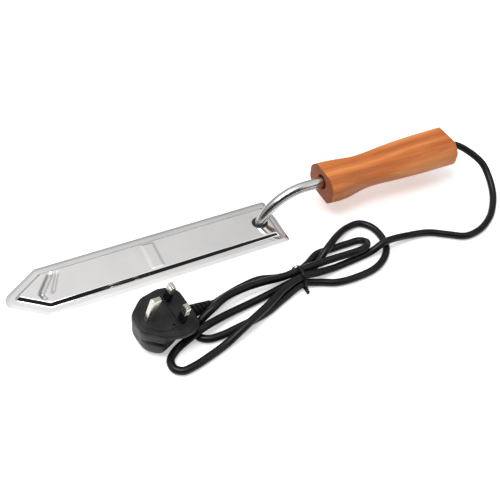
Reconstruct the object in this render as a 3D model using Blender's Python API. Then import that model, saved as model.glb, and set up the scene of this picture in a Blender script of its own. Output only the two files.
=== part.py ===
"""Electric uncapping knife with a wooden handle and a mains lead.

The frame is right-handed with +Z up.  X runs from the blade's tip to the handle, Y across
the blade, and the origin lies on the blade's underside, straight below the point where the
bent shank enters the blade.  The knife, its lead and its plug all rest on the plane z = 0.
Sizes are written in millimetres and become metres when a mesh is made.
"""
import math

import bmesh
import bpy
from mathutils import Matrix, Vector

MM = 0.001
GAP = 0.3                     # clearance kept between pieces that touch

# ---- blade -------------------------------------------------------------------------------
BLADE_WIDTH = 55.0
BLADE_REAR_X = 18.0           # rear edge of the base plate
BLADE_STRAIGHT = 220.0        # length of the parallel cutting edges
TIP_LENGTH = 37.0             # from the shoulders to the point where the tip's edges meet
TIP_RADIUS = 11.0
SHOULDER_RADIUS = 5.0
CORNER_RADIUS = 2.0
PLATE_THICKNESS = 1.2
EDGE_LAND = 0.35              # thickness left at the ground cutting edge
GROUND_WIDTH = 3.0            # width of the ground bevel

# ---- pressed cover over the heater -------------------------------------------------------
COVER_MARGIN = 8.0            # from the plate's edge to the foot of the cover
COVER_REAR_MARGIN = 5.2
COVER_SLOPE = 3.0             # how far the wall leans inwards
COVER_HEIGHT = 3.3
COVER_SHEET = 0.7
BAND_X = -104.5               # middle of the pressed cross band
BAND_WIDTH = 13.0
BAND_SLOPE = 3.0
BAND_HEIGHT = 0.5

# ---- heater sandwich ---------------------------------------------------------------------
SHEET_THICKNESS = 0.3         # mica sheets
RIBBON_THICKNESS = 0.4
RIBBON_WIDTH = 1.8
RIBBON_PITCH = 4.2
RIBBON_LEGS = 6
HEATER_FRONT_X = -190.0
HEATER_REAR_X = -14.0
MICA_HALF_WIDTH = 14.5
MICA_OVERHANG = 2.0

# ---- shank tube --------------------------------------------------------------------------
TUBE_RADIUS = 5.0
TUBE_WALL = 1.0
TUBE_FOOT_Z = 3.7             # centre of the tube's lower end
TUBE_Z = 33.5                 # centre of the tube's level part, and of the handle's bore
TUBE_ANGLE = 68.0             # slope of the tube where it leaves the blade, degrees
TUBE_IN_HANDLE = 72.0         # length held inside the handle
SEAL_WIDTH = 2.2              # bead of sealant, beyond the tube's wall
SEAL_BOTTOM_Z = 3.6
SEAL_HEIGHT = 1.1

# ---- handle ------------------------------------------------------------------------------
HANDLE_FRONT_X = 61.7
HANDLE_LENGTH = 140.0
RECESS_GAP = 2.0              # round recess in the handle's front, wider than the tube by this
RECESS_DEPTH = 16.0
WIRING_RADIUS = 8.6           # bore of the wiring space, open to the rear
BUSH_LENGTH = 12.0
SCREW_X = 108.0
SCREW_RADIUS = 1.75
SCREW_HEAD_RADIUS = 3.6
SCREW_HEAD_DEPTH = 3.0
# Stations along the handle: share of its length, half width of the flat top, half width
# at the waist of the section, half width of the flat bottom, top z, bottom z.
HANDLE_STATIONS = [
    (0.00, 12.3, 20.8, 13.5, 46.0, 17.3),
    (0.08, 11.8, 20.4, 13.2, 46.2, 16.0),
    (0.16, 10.7, 19.2, 12.3, 45.9, 16.0),
    (0.24, 9.6, 17.9, 11.2, 45.3, 18.0),
    (0.32, 9.6, 17.6, 11.0, 45.1, 19.7),
    (0.42, 10.5, 18.4, 11.6, 45.5, 20.4),
    (0.55, 11.8, 19.8, 12.8, 46.3, 20.3),
    (0.72, 12.6, 20.8, 13.8, 47.0, 20.0),
    (1.00, 12.7, 21.0, 14.0, 47.7, 19.4),
]

# ---- wiring ------------------------------------------------------------------------------
LEAD_RADIUS = 0.8
LEAD_OFFSET = 1.7             # from the tube's axis to each lead
CORE_RADIUS = 1.0
SPLICE_RADIUS = 1.8
SPLICE_SHARE = 0.27           # splice's share of the space between tube and lead
SPLICE_PLACE = 0.17           # where in that space the splices begin, as a share
EARTH_CLIP_SETBACK = 7.2      # from the earth clip's front to the tube's end
EARTH_CLIP_WIDTH = 5.0
EARTH_CLIP_WALL = 1.5
CORD_TAIL_LENGTH = 24.0
CLAMP_WIDTH = 4.0
CLAMP_WALL = 1.6

# ---- mains lead --------------------------------------------------------------------------
CORD_RADIUS = 3.3
CORD_POINTS = 80              # points of the lead's tube
CORD_STEP = 17.0              # one point for this length of straight lead ...
CORD_TURN = 30.0              # ... and one more for this turn, degrees
CORD_STRAIGHT = 4.0           # straight lead at the handle and at the plug
CORD_LIFT = 0.1               # lead's lowest point above the surface
# Route of the lead's centreline from the handle to the plug.  It drops to the surface,
# makes two loops on each side of the tie, and passes over itself where z is high.
CORD_ROUTE = [
    (211, -0.5, 33), (217, -2.5, 31.5), (225, -9.5, 28), (233.5, -25.5, 21.5), (234, -40.5, 13),
    (229.5, -54.5, 6.5), (220, -67, 3.5), (206.5, -78.5, 3.5), (188, -87.5, 3.5),
    (170, -89, 3.5), (155, -80.5, 3.5), (140.5, -72, 3.5), (122, -69, 5), (91, -71, 10.5),
    (76, -72, 4.5), (57.5, -73.5, 3.5), (38, -75, 3.5), (18, -77.5, 8.2), (2, -77.6, 10.5),
    (-18, -83, 10.5), (-39.5, -94, 10.5), (-56.5, -101.5, 10.5), (-70, -106.5, 8),
    (-84.5, -111, 4), (-101, -116, 3.5), (-115, -119.5, 3.5), (-124.5, -120, 3.5),
    (-130, -115.5, 3.5), (-130, -107.5, 3.5), (-122.5, -100.5, 4), (-110, -97, 8),
    (-99, -94.5, 11), (-84, -89.5, 8.5), (-66.5, -84.5, 5), (-49.5, -81.5, 3.5),
    (-31, -79, 3.5), (-13.5, -76, 3.5), (2, -74, 4.7), (14, -71, 3.5), (26.5, -63.5, 5),
    (39, -57, 10.8), (54.5, -46.5, 8.5), (72, -37.5, 4.5), (86, -36.5, 3.5), (94, -44.5, 3.5),
    (96, -59.5, 3.5), (92, -73, 3.5), (83.5, -82.5, 3.5), (70, -89.5, 3.5), (52, -92, 3.5),
    (30.5, -90.5, 3.5), (15, -84, 3.5), (2, -81, 4.7), (-20, -87.5, 3.5), (-39.5, -95, 3.5),
    (-54.5, -98, 3.5), (-70, -100, 3.5), (-84, -101.5, 3.5), (-95, -100.5, 3.5),
    (-101, -96, 3.5), (-101.5, -88.5, 3.5), (-95.5, -85, 8.5), (-82.5, -81, 14),
    (-69, -74.5, 13.5), (-49.5, -70, 11), (-31, -70, 10.5), (-12.5, -71, 9.9), (2, -70.4, 10.6),
    (16.5, -70.2, 10.3), (34, -70.5, 10.8), (50.5, -71.5, 11.5), (62, -72, 12), (70, -70, 11),
    (77, -62, 7), (73.5, -55.5, 4), (62.5, -54.5, 3.5), (45, -54.5, 3.5), (30, -54.5, 3.5),
    (15.5, -62, 3.5), (2, -67, 4.7), (-14, -65.5, 3.5), (-31, -61, 3.5), (-48, -62.5, 3.5),
    (-60, -65, 3.5), (-69, -68, 4.5),
]

# ---- tie round the folded lead -----------------------------------------------------------
TIE_X = 2.0
TIE_WIDTH = 2.6
TIE_THICKNESS = 0.8
TIE_TAIL_OUT = [(-90.0, 2.8), (-87.5, 3.0)]         # (y, z) of the end that starts
TIE_TAIL_BACK = [(-90.0, 1.2)]                      # and of the end that closes
# The tie's turn round the strands: a strand's y and z, the direction from its middle in
# degrees, and the tie's distance from its surface there.
TIE_TURN = [
    (-81.0, 4.7, 180, 0.9), (-81.0, 4.7, 135, 0.9), (-77.7, 10.4, 150, 0.9),
    (-77.7, 10.4, 105, 0.9), (-70.6, 10.4, 80, 0.9), (-70.6, 10.4, 30, 0.9),
    (-67.0, 4.7, 45, 1.3), (-67.0, 4.7, 0, 1.6), (-67.0, 4.7, -45, 1.6),
    (-67.0, 4.7, -75, 0.45), (-81.0, 4.7, -100, 0.45), (-81.0, 4.7, -140, 1.5),
]

# ---- plug (British three-pin pattern) ----------------------------------------------------
PLUG_FACE_POS = (-126.2, -82.5, 30.9)     # middle of the pin face, plug lying on its back
PLUG_YAW = 9.0
PLUG_PITCH = 14.5
PLUG_ROLL = 5.0
PIN_SPACING = 22.2            # live to neutral, and earth to the live-neutral line
LINE_PIN_SIZE = (4.0, 6.35)
LINE_PIN_LENGTH = 17.7
EARTH_PIN_SIZE = (8.0, 4.0)
EARTH_PIN_LENGTH = 22.7
PIN_ROOT = 11.0               # how deep the pins are held in the body
PIN_CHAMFER = 1.0
SLEEVE_LENGTH = 9.5
SLEEVE_WALL = 0.45
PLUG_FRONT = 22.0             # from the plug's middle to its edge beyond the earth pin
PLUG_REAR_X = 26.0            # face that the strain relief leaves
PLUG_HALF_WIDTH = 24.0
FLANGE_THICKNESS = 5.5
FLANGE_ROUNDING = 1.2
GRIP_START_X = -9.0           # from here the grip narrows towards the lead
GRIP_NARROWING = 0.42         # share of the flange's width left at the lead
GRIP_REAR_STEP = 0.6
# Levels of the grip: inset from its outline, share of the depth below the flange.
GRIP_LEVELS = [(0.3, 0.0), (0.6, 0.45), (1.8, 0.7), (4.0, 0.88), (8.0, 1.0)]
CORD_DEPTH = 12.0             # strain relief's axis below the pin face
BOOT_LENGTH = 24.0
BOOT_RADIUS = 6.4
BOOT_TIP_RADIUS = 4.2
BOOT_RIBS = 5
CARRIER_TOP = 2.0             # thickness over the fuse
CARRIER_WALL = 1.0
CARRIER_ROOM = 0.35           # clearance beside and under the fuse
CARRIER_END_ROOM = 1.3        # clearance at each end of the fuse
PIN_WALL = 0.7                # plastic between the carrier's pocket and the line pins
FUSE_LENGTH = 25.4
FUSE_RADIUS = 3.15
FUSE_CAP_LENGTH = 6.0
FUSE_CAP_WALL = 0.4
CONTACT_THICKNESS = 0.8
CONTACT_LENGTH = 5.0

# ---- derived -----------------------------------------------------------------------------
SHOULDER_X = BLADE_REAR_X - BLADE_STRAIGHT
APEX_X = SHOULDER_X - TIP_LENGTH
TIP_ANGLE = math.atan2(BLADE_WIDTH / 2, TIP_LENGTH)
COVER_TOP_Z = PLATE_THICKNESS + COVER_HEIGHT - GAP
SEAL_RADIUS = TUBE_RADIUS + SEAL_WIDTH
SHANK_HOLE_RADIUS = SEAL_RADIUS + GAP
TUBE_BEND = (TUBE_Z - TUBE_FOOT_Z) / (1 - math.cos(math.radians(TUBE_ANGLE)))
HANDLE_REAR_X = HANDLE_FRONT_X + HANDLE_LENGTH
TUBE_END_X = HANDLE_FRONT_X + TUBE_IN_HANDLE
CORE_END_X = HANDLE_REAR_X - CORD_TAIL_LENGTH - GAP
SPLICE_X = TUBE_END_X + SPLICE_PLACE * (CORE_END_X - TUBE_END_X)
SPLICE_LENGTH = SPLICE_SHARE * (CORE_END_X - TUBE_END_X)
EARTH_CLIP_X = TUBE_END_X - EARTH_CLIP_SETBACK
CARRIER_SIZE = (2 * (FUSE_RADIUS + CARRIER_ROOM + CARRIER_WALL),
                FUSE_LENGTH + 2 * (CARRIER_END_ROOM + CARRIER_WALL))
CARRIER_DEPTH = CARRIER_TOP + GAP + 2 * FUSE_RADIUS + CARRIER_ROOM
CARRIER_X = ((PIN_SPACING - LINE_PIN_SIZE[0]) / 2 - 2 * GAP - PIN_WALL
             - CARRIER_SIZE[0] / 2)
PLUG_FRAME = (
    Matrix.Translation(Vector(PLUG_FACE_POS))
    @ Matrix.Rotation(math.radians(PLUG_ROLL), 4, "X")
    @ Matrix.Rotation(math.radians(PLUG_PITCH), 4, "Y")
    @ Matrix.Rotation(math.radians(PLUG_YAW), 4, "Z")
)


# ---- helpers -----------------------------------------------------------------------------
def clear_scene():
    """Remove every object, so that the script starts from nothing."""
    for item in list(bpy.data.objects):
        bpy.data.objects.remove(item, do_unlink=True)


def material(name, colour, roughness, metallic=0.0):
    """A Principled material; the same name gives the same material."""
    found = bpy.data.materials.get(name)
    if found:
        return found
    made = bpy.data.materials.new(name)
    made.use_nodes = True
    shader = made.node_tree.nodes["Principled BSDF"]
    shader.inputs["Base Color"].default_value = (*colour, 1.0)
    shader.inputs["Roughness"].default_value = roughness
    shader.inputs["Metallic"].default_value = metallic
    return made


STEEL = ("stainless_steel", (0.78, 0.78, 0.77), 0.12, 1.0)
WOOD = ("varnished_wood", (0.60, 0.26, 0.09), 0.35, 0.0)
BLACK_PLASTIC = ("black_plastic", (0.02, 0.02, 0.02), 0.35, 0.0)
BLACK_PVC = ("black_pvc", (0.015, 0.015, 0.015), 0.4, 0.0)
BRASS = ("nickelled_brass", (0.80, 0.78, 0.70), 0.2, 1.0)
MICA = ("mica", (0.62, 0.52, 0.36), 0.5, 0.0)
RESISTANCE_ALLOY = ("resistance_alloy", (0.42, 0.40, 0.38), 0.4, 1.0)
CERAMIC = ("fuse_ceramic", (0.85, 0.84, 0.80), 0.4, 0.0)
BROWN_WIRE = ("brown_insulation", (0.20, 0.07, 0.02), 0.5, 0.0)
BLUE_WIRE = ("blue_insulation", (0.02, 0.09, 0.40), 0.5, 0.0)
EARTH_WIRE = ("green_yellow_insulation", (0.25, 0.45, 0.05), 0.5, 0.0)
SEALANT = ("black_sealant", (0.02, 0.02, 0.02), 0.6, 0.0)
ZINC = ("zinc_plated_steel", (0.66, 0.66, 0.64), 0.3, 1.0)


def add_mesh(name, vertices, faces, finish, frame=None, smooth=True):
    """Make a mesh object from millimetre points, smooth apart from its sharp edges."""
    mesh = bpy.data.meshes.new(name)
    mesh.from_pydata([Vector(point) * MM for point in vertices], [], faces)
    shape = bmesh.new()
    shape.from_mesh(mesh)
    bmesh.ops.recalc_face_normals(shape, faces=shape.faces)
    shape.to_mesh(mesh)
    shape.free()
    if smooth:
        mesh.shade_smooth()
        mesh.set_sharp_from_angle(angle=math.radians(35))
    mesh.materials.append(material(*finish))
    item = bpy.data.objects.new(name, mesh)
    bpy.context.scene.collection.objects.link(item)
    if frame is not None:
        item.parent = frame
    return item


def loft(rings, closed=False):
    """Vertices and faces of a skin over rings of equal count; a closed loft has no ends."""
    count = len(rings[0])
    vertices = [point for ring in rings for point in ring]
    faces = []
    steps = len(rings) if closed else len(rings) - 1
    for k in range(steps):
        here = k * count
        there = ((k + 1) % len(rings)) * count
        for i in range(count):
            j = (i + 1) % count
            faces.append((here + i, here + j, there + j, there + i))
    if not closed:
        faces.append(tuple(range(count))[::-1])
        faces.append(tuple(range(len(vertices) - count, len(vertices))))
    return vertices, faces


def add_loft(name, rings, finish, closed=False, frame=None):
    vertices, faces = loft(rings, closed)
    return add_mesh(name, vertices, faces, finish, frame)


def circle(radius, sides):
    """Points of a circle in its own plane."""
    return [(radius * math.cos(2 * math.pi * i / sides), radius * math.sin(2 * math.pi * i / sides))
            for i in range(sides)]


def rounded(corners, radii, steps=5, fill=None):
    """Round the corners of a closed polygon with arcs that touch both of its sides.

    fill gives the number of points to add on the straight run after each corner.
    """
    outline = []
    for k, corner in enumerate(corners):
        here = Vector(corner)
        back = (Vector(corners[k - 1]) - here).normalized()
        ahead = (Vector(corners[(k + 1) % len(corners)]) - here).normalized()
        half = math.acos(max(-1.0, min(1.0, back.dot(ahead)))) / 2
        reach = radii[k] / math.tan(half)
        middle = here + (back + ahead).normalized() * (radii[k] / math.sin(half))
        start = here + back * reach - middle
        turn = math.pi - 2 * half
        side = 1 if back.cross(ahead) < 0 else -1
        for i in range(steps + 1):
            angle = side * turn * i / steps
            spun = (start.x * math.cos(angle) - start.y * math.sin(angle),
                    start.x * math.sin(angle) + start.y * math.cos(angle))
            outline.append((middle.x + spun[0], middle.y + spun[1]))
    if fill is None:
        return outline
    filled = []
    for k, count in enumerate(fill):
        filled += outline[k * (steps + 1):(k + 1) * (steps + 1)]
        start = Vector(filled[-1])
        end = Vector(outline[(k + 1) * (steps + 1) % len(outline)])
        filled += [tuple(start.lerp(end, (i + 1) / (count + 1))) for i in range(count)]
    return filled


def frames_along(path):
    """Two axes across the path at each of its points, for a path that stays in y = const
    or turns gently, so that neither axis flips."""
    frames = []
    for k, point in enumerate(path):
        before = Vector(path[max(k - 1, 0)])
        after = Vector(path[min(k + 1, len(path) - 1)])
        along = (after - before).normalized()
        side = Vector((0, 1, 0)) if abs(along.y) < 0.9 else Vector((1, 0, 0))
        side = (side - along * side.dot(along)).normalized()
        frames.append((Vector(point), side, along.cross(side)))
    return frames


def sweep(path, profile):
    """Carry a flat profile along a path."""
    return [[middle + side * u + up * v for u, v in profile]
            for middle, side, up in frames_along(path)]


def add_cutter(name, vertices, faces, frame=None):
    """A hidden solid that only cuts another."""
    cutter = add_mesh(name, vertices, faces, STEEL, frame, smooth=False)
    cutter.hide_render = True
    cutter.display_type = "WIRE"
    return cutter


def cut(item, cutters, operation="DIFFERENCE"):
    """Boolean the cutters with the item, one modifier each."""
    for cutter in cutters:
        step = item.modifiers.new(cutter.name, "BOOLEAN")
        step.operation = operation
        step.solver = "EXACT"
        step.object = cutter


def box(low, high):
    """Vertices and faces of a box between two corners."""
    ring = [(low[0], low[1]), (high[0], low[1]), (high[0], high[1]), (low[0], high[1])]
    return loft([[(x, y, z) for x, y in ring] for z in (low[2], high[2])])


def smooth_route(points):
    """Centripetal Catmull-Rom curve through the points, ten steps for each interval."""
    spots = [Vector(point) for point in points]
    spots = [2 * spots[0] - spots[1]] + spots + [2 * spots[-1] - spots[-2]]
    curve = []
    for k in range(1, len(spots) - 2):
        p0, p1, p2, p3 = spots[k - 1:k + 3]
        t1 = (p1 - p0).length ** 0.5
        t2 = t1 + (p2 - p1).length ** 0.5
        t3 = t2 + (p3 - p2).length ** 0.5
        for step in range(10):
            t = t1 + (t2 - t1) * step / 10
            a1 = p0 * ((t1 - t) / t1) + p1 * (t / t1)
            a2 = p1 * ((t2 - t) / (t2 - t1)) + p2 * ((t - t1) / (t2 - t1))
            a3 = p2 * ((t3 - t) / (t3 - t2)) + p3 * ((t - t2) / (t3 - t2))
            b1 = a1 * ((t2 - t) / t2) + a2 * (t / t2)
            b2 = a2 * ((t3 - t) / (t3 - t1)) + a3 * ((t - t1) / (t3 - t1))
            curve.append(b1 * ((t2 - t) / (t2 - t1)) + b2 * ((t - t1) / (t2 - t1)))
    curve.append(spots[-2])
    return curve


def thinned(curve, count):
    """Points of the curve in even shares of its length and its turning taken together."""
    travelled = [0.0]
    for k in range(1, len(curve)):
        step = curve[k] - curve[k - 1]
        turn = 0.0
        if k + 1 < len(curve):
            turn = math.degrees(step.angle(curve[k + 1] - curve[k]))
        travelled.append(travelled[-1] + step.length / CORD_STEP + turn / CORD_TURN)
    chosen = [curve[0]]
    k = 0
    for share in range(1, count - 1):
        wanted = travelled[-1] * share / (count - 1)
        while travelled[k + 1] < wanted:
            k += 1
        part = (wanted - travelled[k]) / (travelled[k + 1] - travelled[k])
        chosen.append(curve[k].lerp(curve[k + 1], part))
    return chosen + [curve[-1]]


# ---- blade -------------------------------------------------------------------------------
def blade_outline(margin, rear_margin):
    """The blade's pointed outline, offset inwards; every offset has the same point count."""
    half = BLADE_WIDTH / 2 - margin
    rear = BLADE_REAR_X - rear_margin
    apex = APEX_X + margin / math.sin(TIP_ANGLE)
    shoulder = apex + half / math.tan(TIP_ANGLE)
    corners = [(rear, -half), (rear, half), (shoulder, half), (apex, 0), (shoulder, -half)]
    tip = max(TIP_RADIUS - margin, 1.5)
    shoulders = max(SHOULDER_RADIUS - margin / 2, 1.5)
    return rounded(corners, [CORNER_RADIUS, CORNER_RADIUS, shoulders, tip, shoulders])


def blade_ring(margin, z, rear_margin=None):
    rear = margin if rear_margin is None else rear_margin
    return [(x, y, z) for x, y in blade_outline(margin, rear)]


def make_blade():
    """Base plate with ground edges, and the pressed cover with its cross band and hole."""
    add_loft("blade_base_plate", [
        blade_ring(0, 0),
        blade_ring(0, EDGE_LAND),
        blade_ring(GROUND_WIDTH, PLATE_THICKNESS),
    ], STEEL)

    foot = PLATE_THICKNESS + GAP
    inner_top = COVER_TOP_Z - COVER_SHEET
    lean = COVER_MARGIN + COVER_SLOPE
    rear_lean = COVER_REAR_MARGIN + COVER_SLOPE
    cover = add_loft("blade_cover", [
        blade_ring(COVER_MARGIN, foot, COVER_REAR_MARGIN),
        blade_ring(COVER_MARGIN, foot + COVER_SHEET, COVER_REAR_MARGIN),
        blade_ring(lean, COVER_TOP_Z, rear_lean),
    ], STEEL)
    hollow = add_cutter("cover_hollow", *loft([
        blade_ring(COVER_MARGIN + COVER_SHEET, foot - 1, COVER_REAR_MARGIN + COVER_SHEET),
        blade_ring(COVER_MARGIN + COVER_SHEET, foot + 0.1, COVER_REAR_MARGIN + COVER_SHEET),
        blade_ring(lean + COVER_SHEET / 2, inner_top, rear_lean + COVER_SHEET / 2),
    ]))
    hole = add_cutter("cover_hole", *loft([
        [(x, y, z) for x, y in circle(SHANK_HOLE_RADIUS, 32)]
        for z in (inner_top - 1, COVER_TOP_Z + 1)
    ]))
    half = BLADE_WIDTH / 2 - lean - BAND_SLOPE / 2
    wide = BAND_WIDTH / 2
    narrow = wide - BAND_SLOPE
    band = add_cutter("cover_band", *loft([
        [(BAND_X - w, -h, z), (BAND_X + w, -h, z), (BAND_X + w, h, z), (BAND_X - w, h, z)]
        for w, h, z in ((wide, half, COVER_TOP_Z - 0.2), (wide, half, COVER_TOP_Z),
                        (narrow, half - BAND_SLOPE / 2, COVER_TOP_Z + BAND_HEIGHT))
    ]))
    cut(cover, [band], "UNION")
    cut(cover, [hollow, hole])


def make_heater():
    """Resistance ribbon folded to and fro between two mica sheets, under the cover.

    At each corner of its path the ribbon is mitred, so that it keeps its width.
    """
    def sheet(name, z):
        front = HEATER_FRONT_X - MICA_OVERHANG
        low = (front, -MICA_HALF_WIDTH, z)
        high = (HEATER_REAR_X + MICA_OVERHANG, MICA_HALF_WIDTH, z + SHEET_THICKNESS)
        add_mesh(name, *box(low, high), MICA)

    lower = PLATE_THICKNESS + GAP
    ribbon = lower + SHEET_THICKNESS + GAP
    upper = ribbon + RIBBON_THICKNESS + GAP
    sheet("lower_mica_sheet", lower)
    sheet("upper_mica_sheet", upper)

    path = []
    for leg in range(RIBBON_LEGS):
        y = (leg - (RIBBON_LEGS - 1) / 2) * RIBBON_PITCH
        ends = [(HEATER_REAR_X, y), (HEATER_FRONT_X, y)]
        path += ends if leg % 2 == 0 else ends[::-1]
    rings = []
    for k, spot in enumerate(path):
        here = Vector(spot)
        before = here - Vector(path[max(k - 1, 0)])
        after = Vector(path[min(k + 1, len(path) - 1)]) - here
        normals = [Vector((-run.y, run.x)).normalized() for run in (before, after) if run.length]
        mitre = (normals[0] + normals[-1]) / (1 + normals[0].dot(normals[-1]))
        side = mitre * RIBBON_WIDTH / 2
        left, right = here + side, here - side
        top = ribbon + RIBBON_THICKNESS
        rings.append([(*left, ribbon), (*right, ribbon), (*right, top), (*left, top)])
    add_loft("heating_ribbon", rings, RESISTANCE_ALLOY)


# ---- shank -------------------------------------------------------------------------------
def shank_path(end_x):
    """Centreline of the bent tube from its foot to end_x."""
    slope = math.radians(TUBE_ANGLE)
    middle = (TUBE_BEND * math.sin(slope), TUBE_Z - TUBE_BEND)
    path = []
    steps = 12
    for k in range(steps + 1):
        angle = slope * (1 - k / steps)
        path.append((middle[0] - TUBE_BEND * math.sin(angle), 0,
                     middle[1] + TUBE_BEND * math.cos(angle)))
    path.append((end_x, 0, TUBE_Z))
    return path


def make_shank():
    """Bent tube that carries the leads, and the bead of sealant round its foot."""
    path = shank_path(TUBE_END_X)
    outer = sweep(path, circle(TUBE_RADIUS, 24))
    inner = sweep(path, circle(TUBE_RADIUS - TUBE_WALL, 24))
    add_loft("shank_tube", outer + inner[::-1], STEEL, closed=True)

    slope = math.radians(TUBE_ANGLE)
    lean = 1 / math.tan(slope)
    clear = TUBE_RADIUS + GAP

    def bore(z):
        shift = (z - TUBE_FOOT_Z) * lean
        return [(shift + x / math.sin(slope), y, z) for x, y in circle(clear, 32)]

    def rim(radius, z):
        return [(x, y, z) for x, y in circle(radius, 32)]

    top = SEAL_BOTTOM_Z + SEAL_HEIGHT
    add_loft("shank_seal", [
        rim(SEAL_RADIUS, SEAL_BOTTOM_Z), rim(SEAL_RADIUS, top - 0.5),
        rim(SEAL_RADIUS - 0.5, top), bore(top), bore(SEAL_BOTTOM_Z),
    ], SEALANT, closed=True)


# ---- handle ------------------------------------------------------------------------------
def handle_section(x, top_half, side_half, bottom_half, top_z, bottom_z):
    """Rounded eight-sided section: crisp flat top, full sides, softer bottom."""
    shoulder = top_z - 8.0
    hip = bottom_z + 8.0
    corners = [(top_half, top_z), (-top_half, top_z), (-side_half, shoulder), (-side_half, hip),
               (-bottom_half, bottom_z), (bottom_half, bottom_z), (side_half, hip),
               (side_half, shoulder)]
    radii = [2.0, 2.0, 7.0, 8.0, 4.0, 4.0, 8.0, 7.0]
    return [(x, y, z) for y, z in rounded(corners, radii, 4, [5, 2, 2, 2, 5, 2, 2, 2])]


def station_at(share):
    """Handle sizes at a share of its length, eased between the stations."""
    for before, after in zip(HANDLE_STATIONS, HANDLE_STATIONS[1:]):
        if share <= after[0]:
            local = (share - before[0]) / (after[0] - before[0])
            return [a + (b - a) * local for a, b in zip(before[1:], after[1:])]
    return list(HANDLE_STATIONS[-1][1:])


def bore_ring(ring, radius, x):
    """Points of a bore round the tube's axis, one for each point of a handle section."""
    points = []
    for _, y, z in ring:
        reach = math.hypot(y, z - TUBE_Z)
        points.append((x, y * radius / reach, TUBE_Z + (z - TUBE_Z) * radius / reach))
    return points


def make_handle():
    """Wooden grip: front recess round the tube, a bore for it, and a wiring space behind."""
    shares = [k / 14 for k in range(15)]
    outer = [handle_section(HANDLE_FRONT_X + share * HANDLE_LENGTH, *station_at(share))
             for share in shares]
    end = outer[-1]
    tube_bore = TUBE_RADIUS + GAP
    wiring_x = TUBE_END_X - 10
    recess_end = HANDLE_FRONT_X + RECESS_DEPTH
    inside = [
        bore_ring(end, WIRING_RADIUS, HANDLE_REAR_X),
        bore_ring(end, WIRING_RADIUS, wiring_x),
        bore_ring(end, tube_bore, wiring_x),
        bore_ring(end, tube_bore, recess_end),
        bore_ring(end, TUBE_RADIUS + RECESS_GAP, recess_end),
        bore_ring(outer[0], TUBE_RADIUS + RECESS_GAP, HANDLE_FRONT_X),
    ]
    handle = add_loft("handle", outer + inside, WOOD, closed=True)

    head_z = station_at((SCREW_X - HANDLE_FRONT_X) / HANDLE_LENGTH)[4]
    tip_z = TUBE_Z - TUBE_RADIUS - GAP
    shoulder_z = head_z + SCREW_HEAD_DEPTH

    def screw_rings(extra, low, high):
        sizes = [(SCREW_HEAD_RADIUS, low), (SCREW_HEAD_RADIUS, head_z + 1.0),
                 (SCREW_RADIUS, shoulder_z), (SCREW_RADIUS, high)]
        return [[(SCREW_X + x, y, z) for x, y in circle(radius + extra, 20)] for radius, z in sizes]

    hole = add_cutter("screw_hole", *loft(screw_rings(GAP, head_z - 2, TUBE_Z)))
    cut(handle, [hole])
    add_loft("handle_screw", screw_rings(0, head_z + GAP, tip_z), ZINC)


# ---- wiring in the handle ----------------------------------------------------------------
def straight_tube(name, start, end, radius, finish, sides=12, bore=None):
    """A rod along X, or a sleeve when it has a bore."""
    rings = sweep([start, end], circle(radius, sides))
    if bore is None:
        return add_loft(name, rings, finish)
    inner = sweep([start, end], circle(bore, sides))
    return add_loft(name, rings + inner[::-1], finish, closed=True)


def make_wiring():
    """Heater leads through the tube, splices, earth clip, and the end of the mains lead."""
    lead_z = (PLATE_THICKNESS + COVER_TOP_Z - COVER_SHEET) / 2
    turn = shank_path(SPLICE_X - GAP)
    lift = 1.2
    for name, side, finish in (("live", 1, BROWN_WIRE), ("neutral", -1, BLUE_WIRE)):
        y = side * LEAD_OFFSET
        start_x = HEATER_REAR_X + MICA_OVERHANG + GAP
        entry = [(start_x, y, lead_z), (-4.0, y, lead_z + 0.1), (-0.2, y, TUBE_FOOT_Z + 1.0)]
        inside = [(px, y, pz) for px, _, pz in turn[1:]]
        add_loft(name + "_heater_lead", sweep(entry + inside, circle(LEAD_RADIUS, 8)), finish)
        splice_y = side * (SPLICE_RADIUS + lift)
        straight_tube(name + "_splice", (SPLICE_X, splice_y, TUBE_Z),
                      (SPLICE_X + SPLICE_LENGTH, splice_y, TUBE_Z), SPLICE_RADIUS, ZINC)
        core_y = side * (CORE_RADIUS + 0.4)
        straight_tube(name + "_core", (SPLICE_X + SPLICE_LENGTH + GAP, splice_y, TUBE_Z),
                      (CORE_END_X, core_y, TUBE_Z), CORE_RADIUS, finish)

    clip_bore = TUBE_RADIUS + GAP
    clip_end = EARTH_CLIP_X + EARTH_CLIP_WIDTH
    straight_tube("earth_clip", (EARTH_CLIP_X, 0, TUBE_Z), (clip_end, 0, TUBE_Z),
                  clip_bore + EARTH_CLIP_WALL, ZINC, 24, clip_bore)
    straight_tube("earth_core", (clip_end + GAP, 0, TUBE_Z - clip_bore - CORE_RADIUS),
                  (CORE_END_X, 0, TUBE_Z - CORE_RADIUS - 1.2),
                  CORE_RADIUS, EARTH_WIRE)

    tail_start = HANDLE_REAR_X - CORD_TAIL_LENGTH
    bush_start = HANDLE_REAR_X - BUSH_LENGTH
    bush_bore = CORD_RADIUS + GAP
    straight_tube("cord_tail", (tail_start, 0, TUBE_Z), (HANDLE_REAR_X, 0, TUBE_Z),
                  CORD_RADIUS, BLACK_PVC, 16)
    straight_tube("cord_bush", (bush_start, 0, TUBE_Z), (HANDLE_REAR_X, 0, TUBE_Z),
                  WIRING_RADIUS - GAP, BLACK_PVC, 32, bush_bore)
    clamp_end = bush_start - GAP
    straight_tube("cord_clamp", (clamp_end - CLAMP_WIDTH, 0, TUBE_Z), (clamp_end, 0, TUBE_Z),
                  bush_bore + CLAMP_WALL, ZINC, 24, bush_bore)


# ---- mains lead and tie ------------------------------------------------------------------
def plug_point(x, y, z):
    """A point of the plug's own frame, in the knife's frame."""
    return PLUG_FRAME @ Vector((x, y, z))


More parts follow.
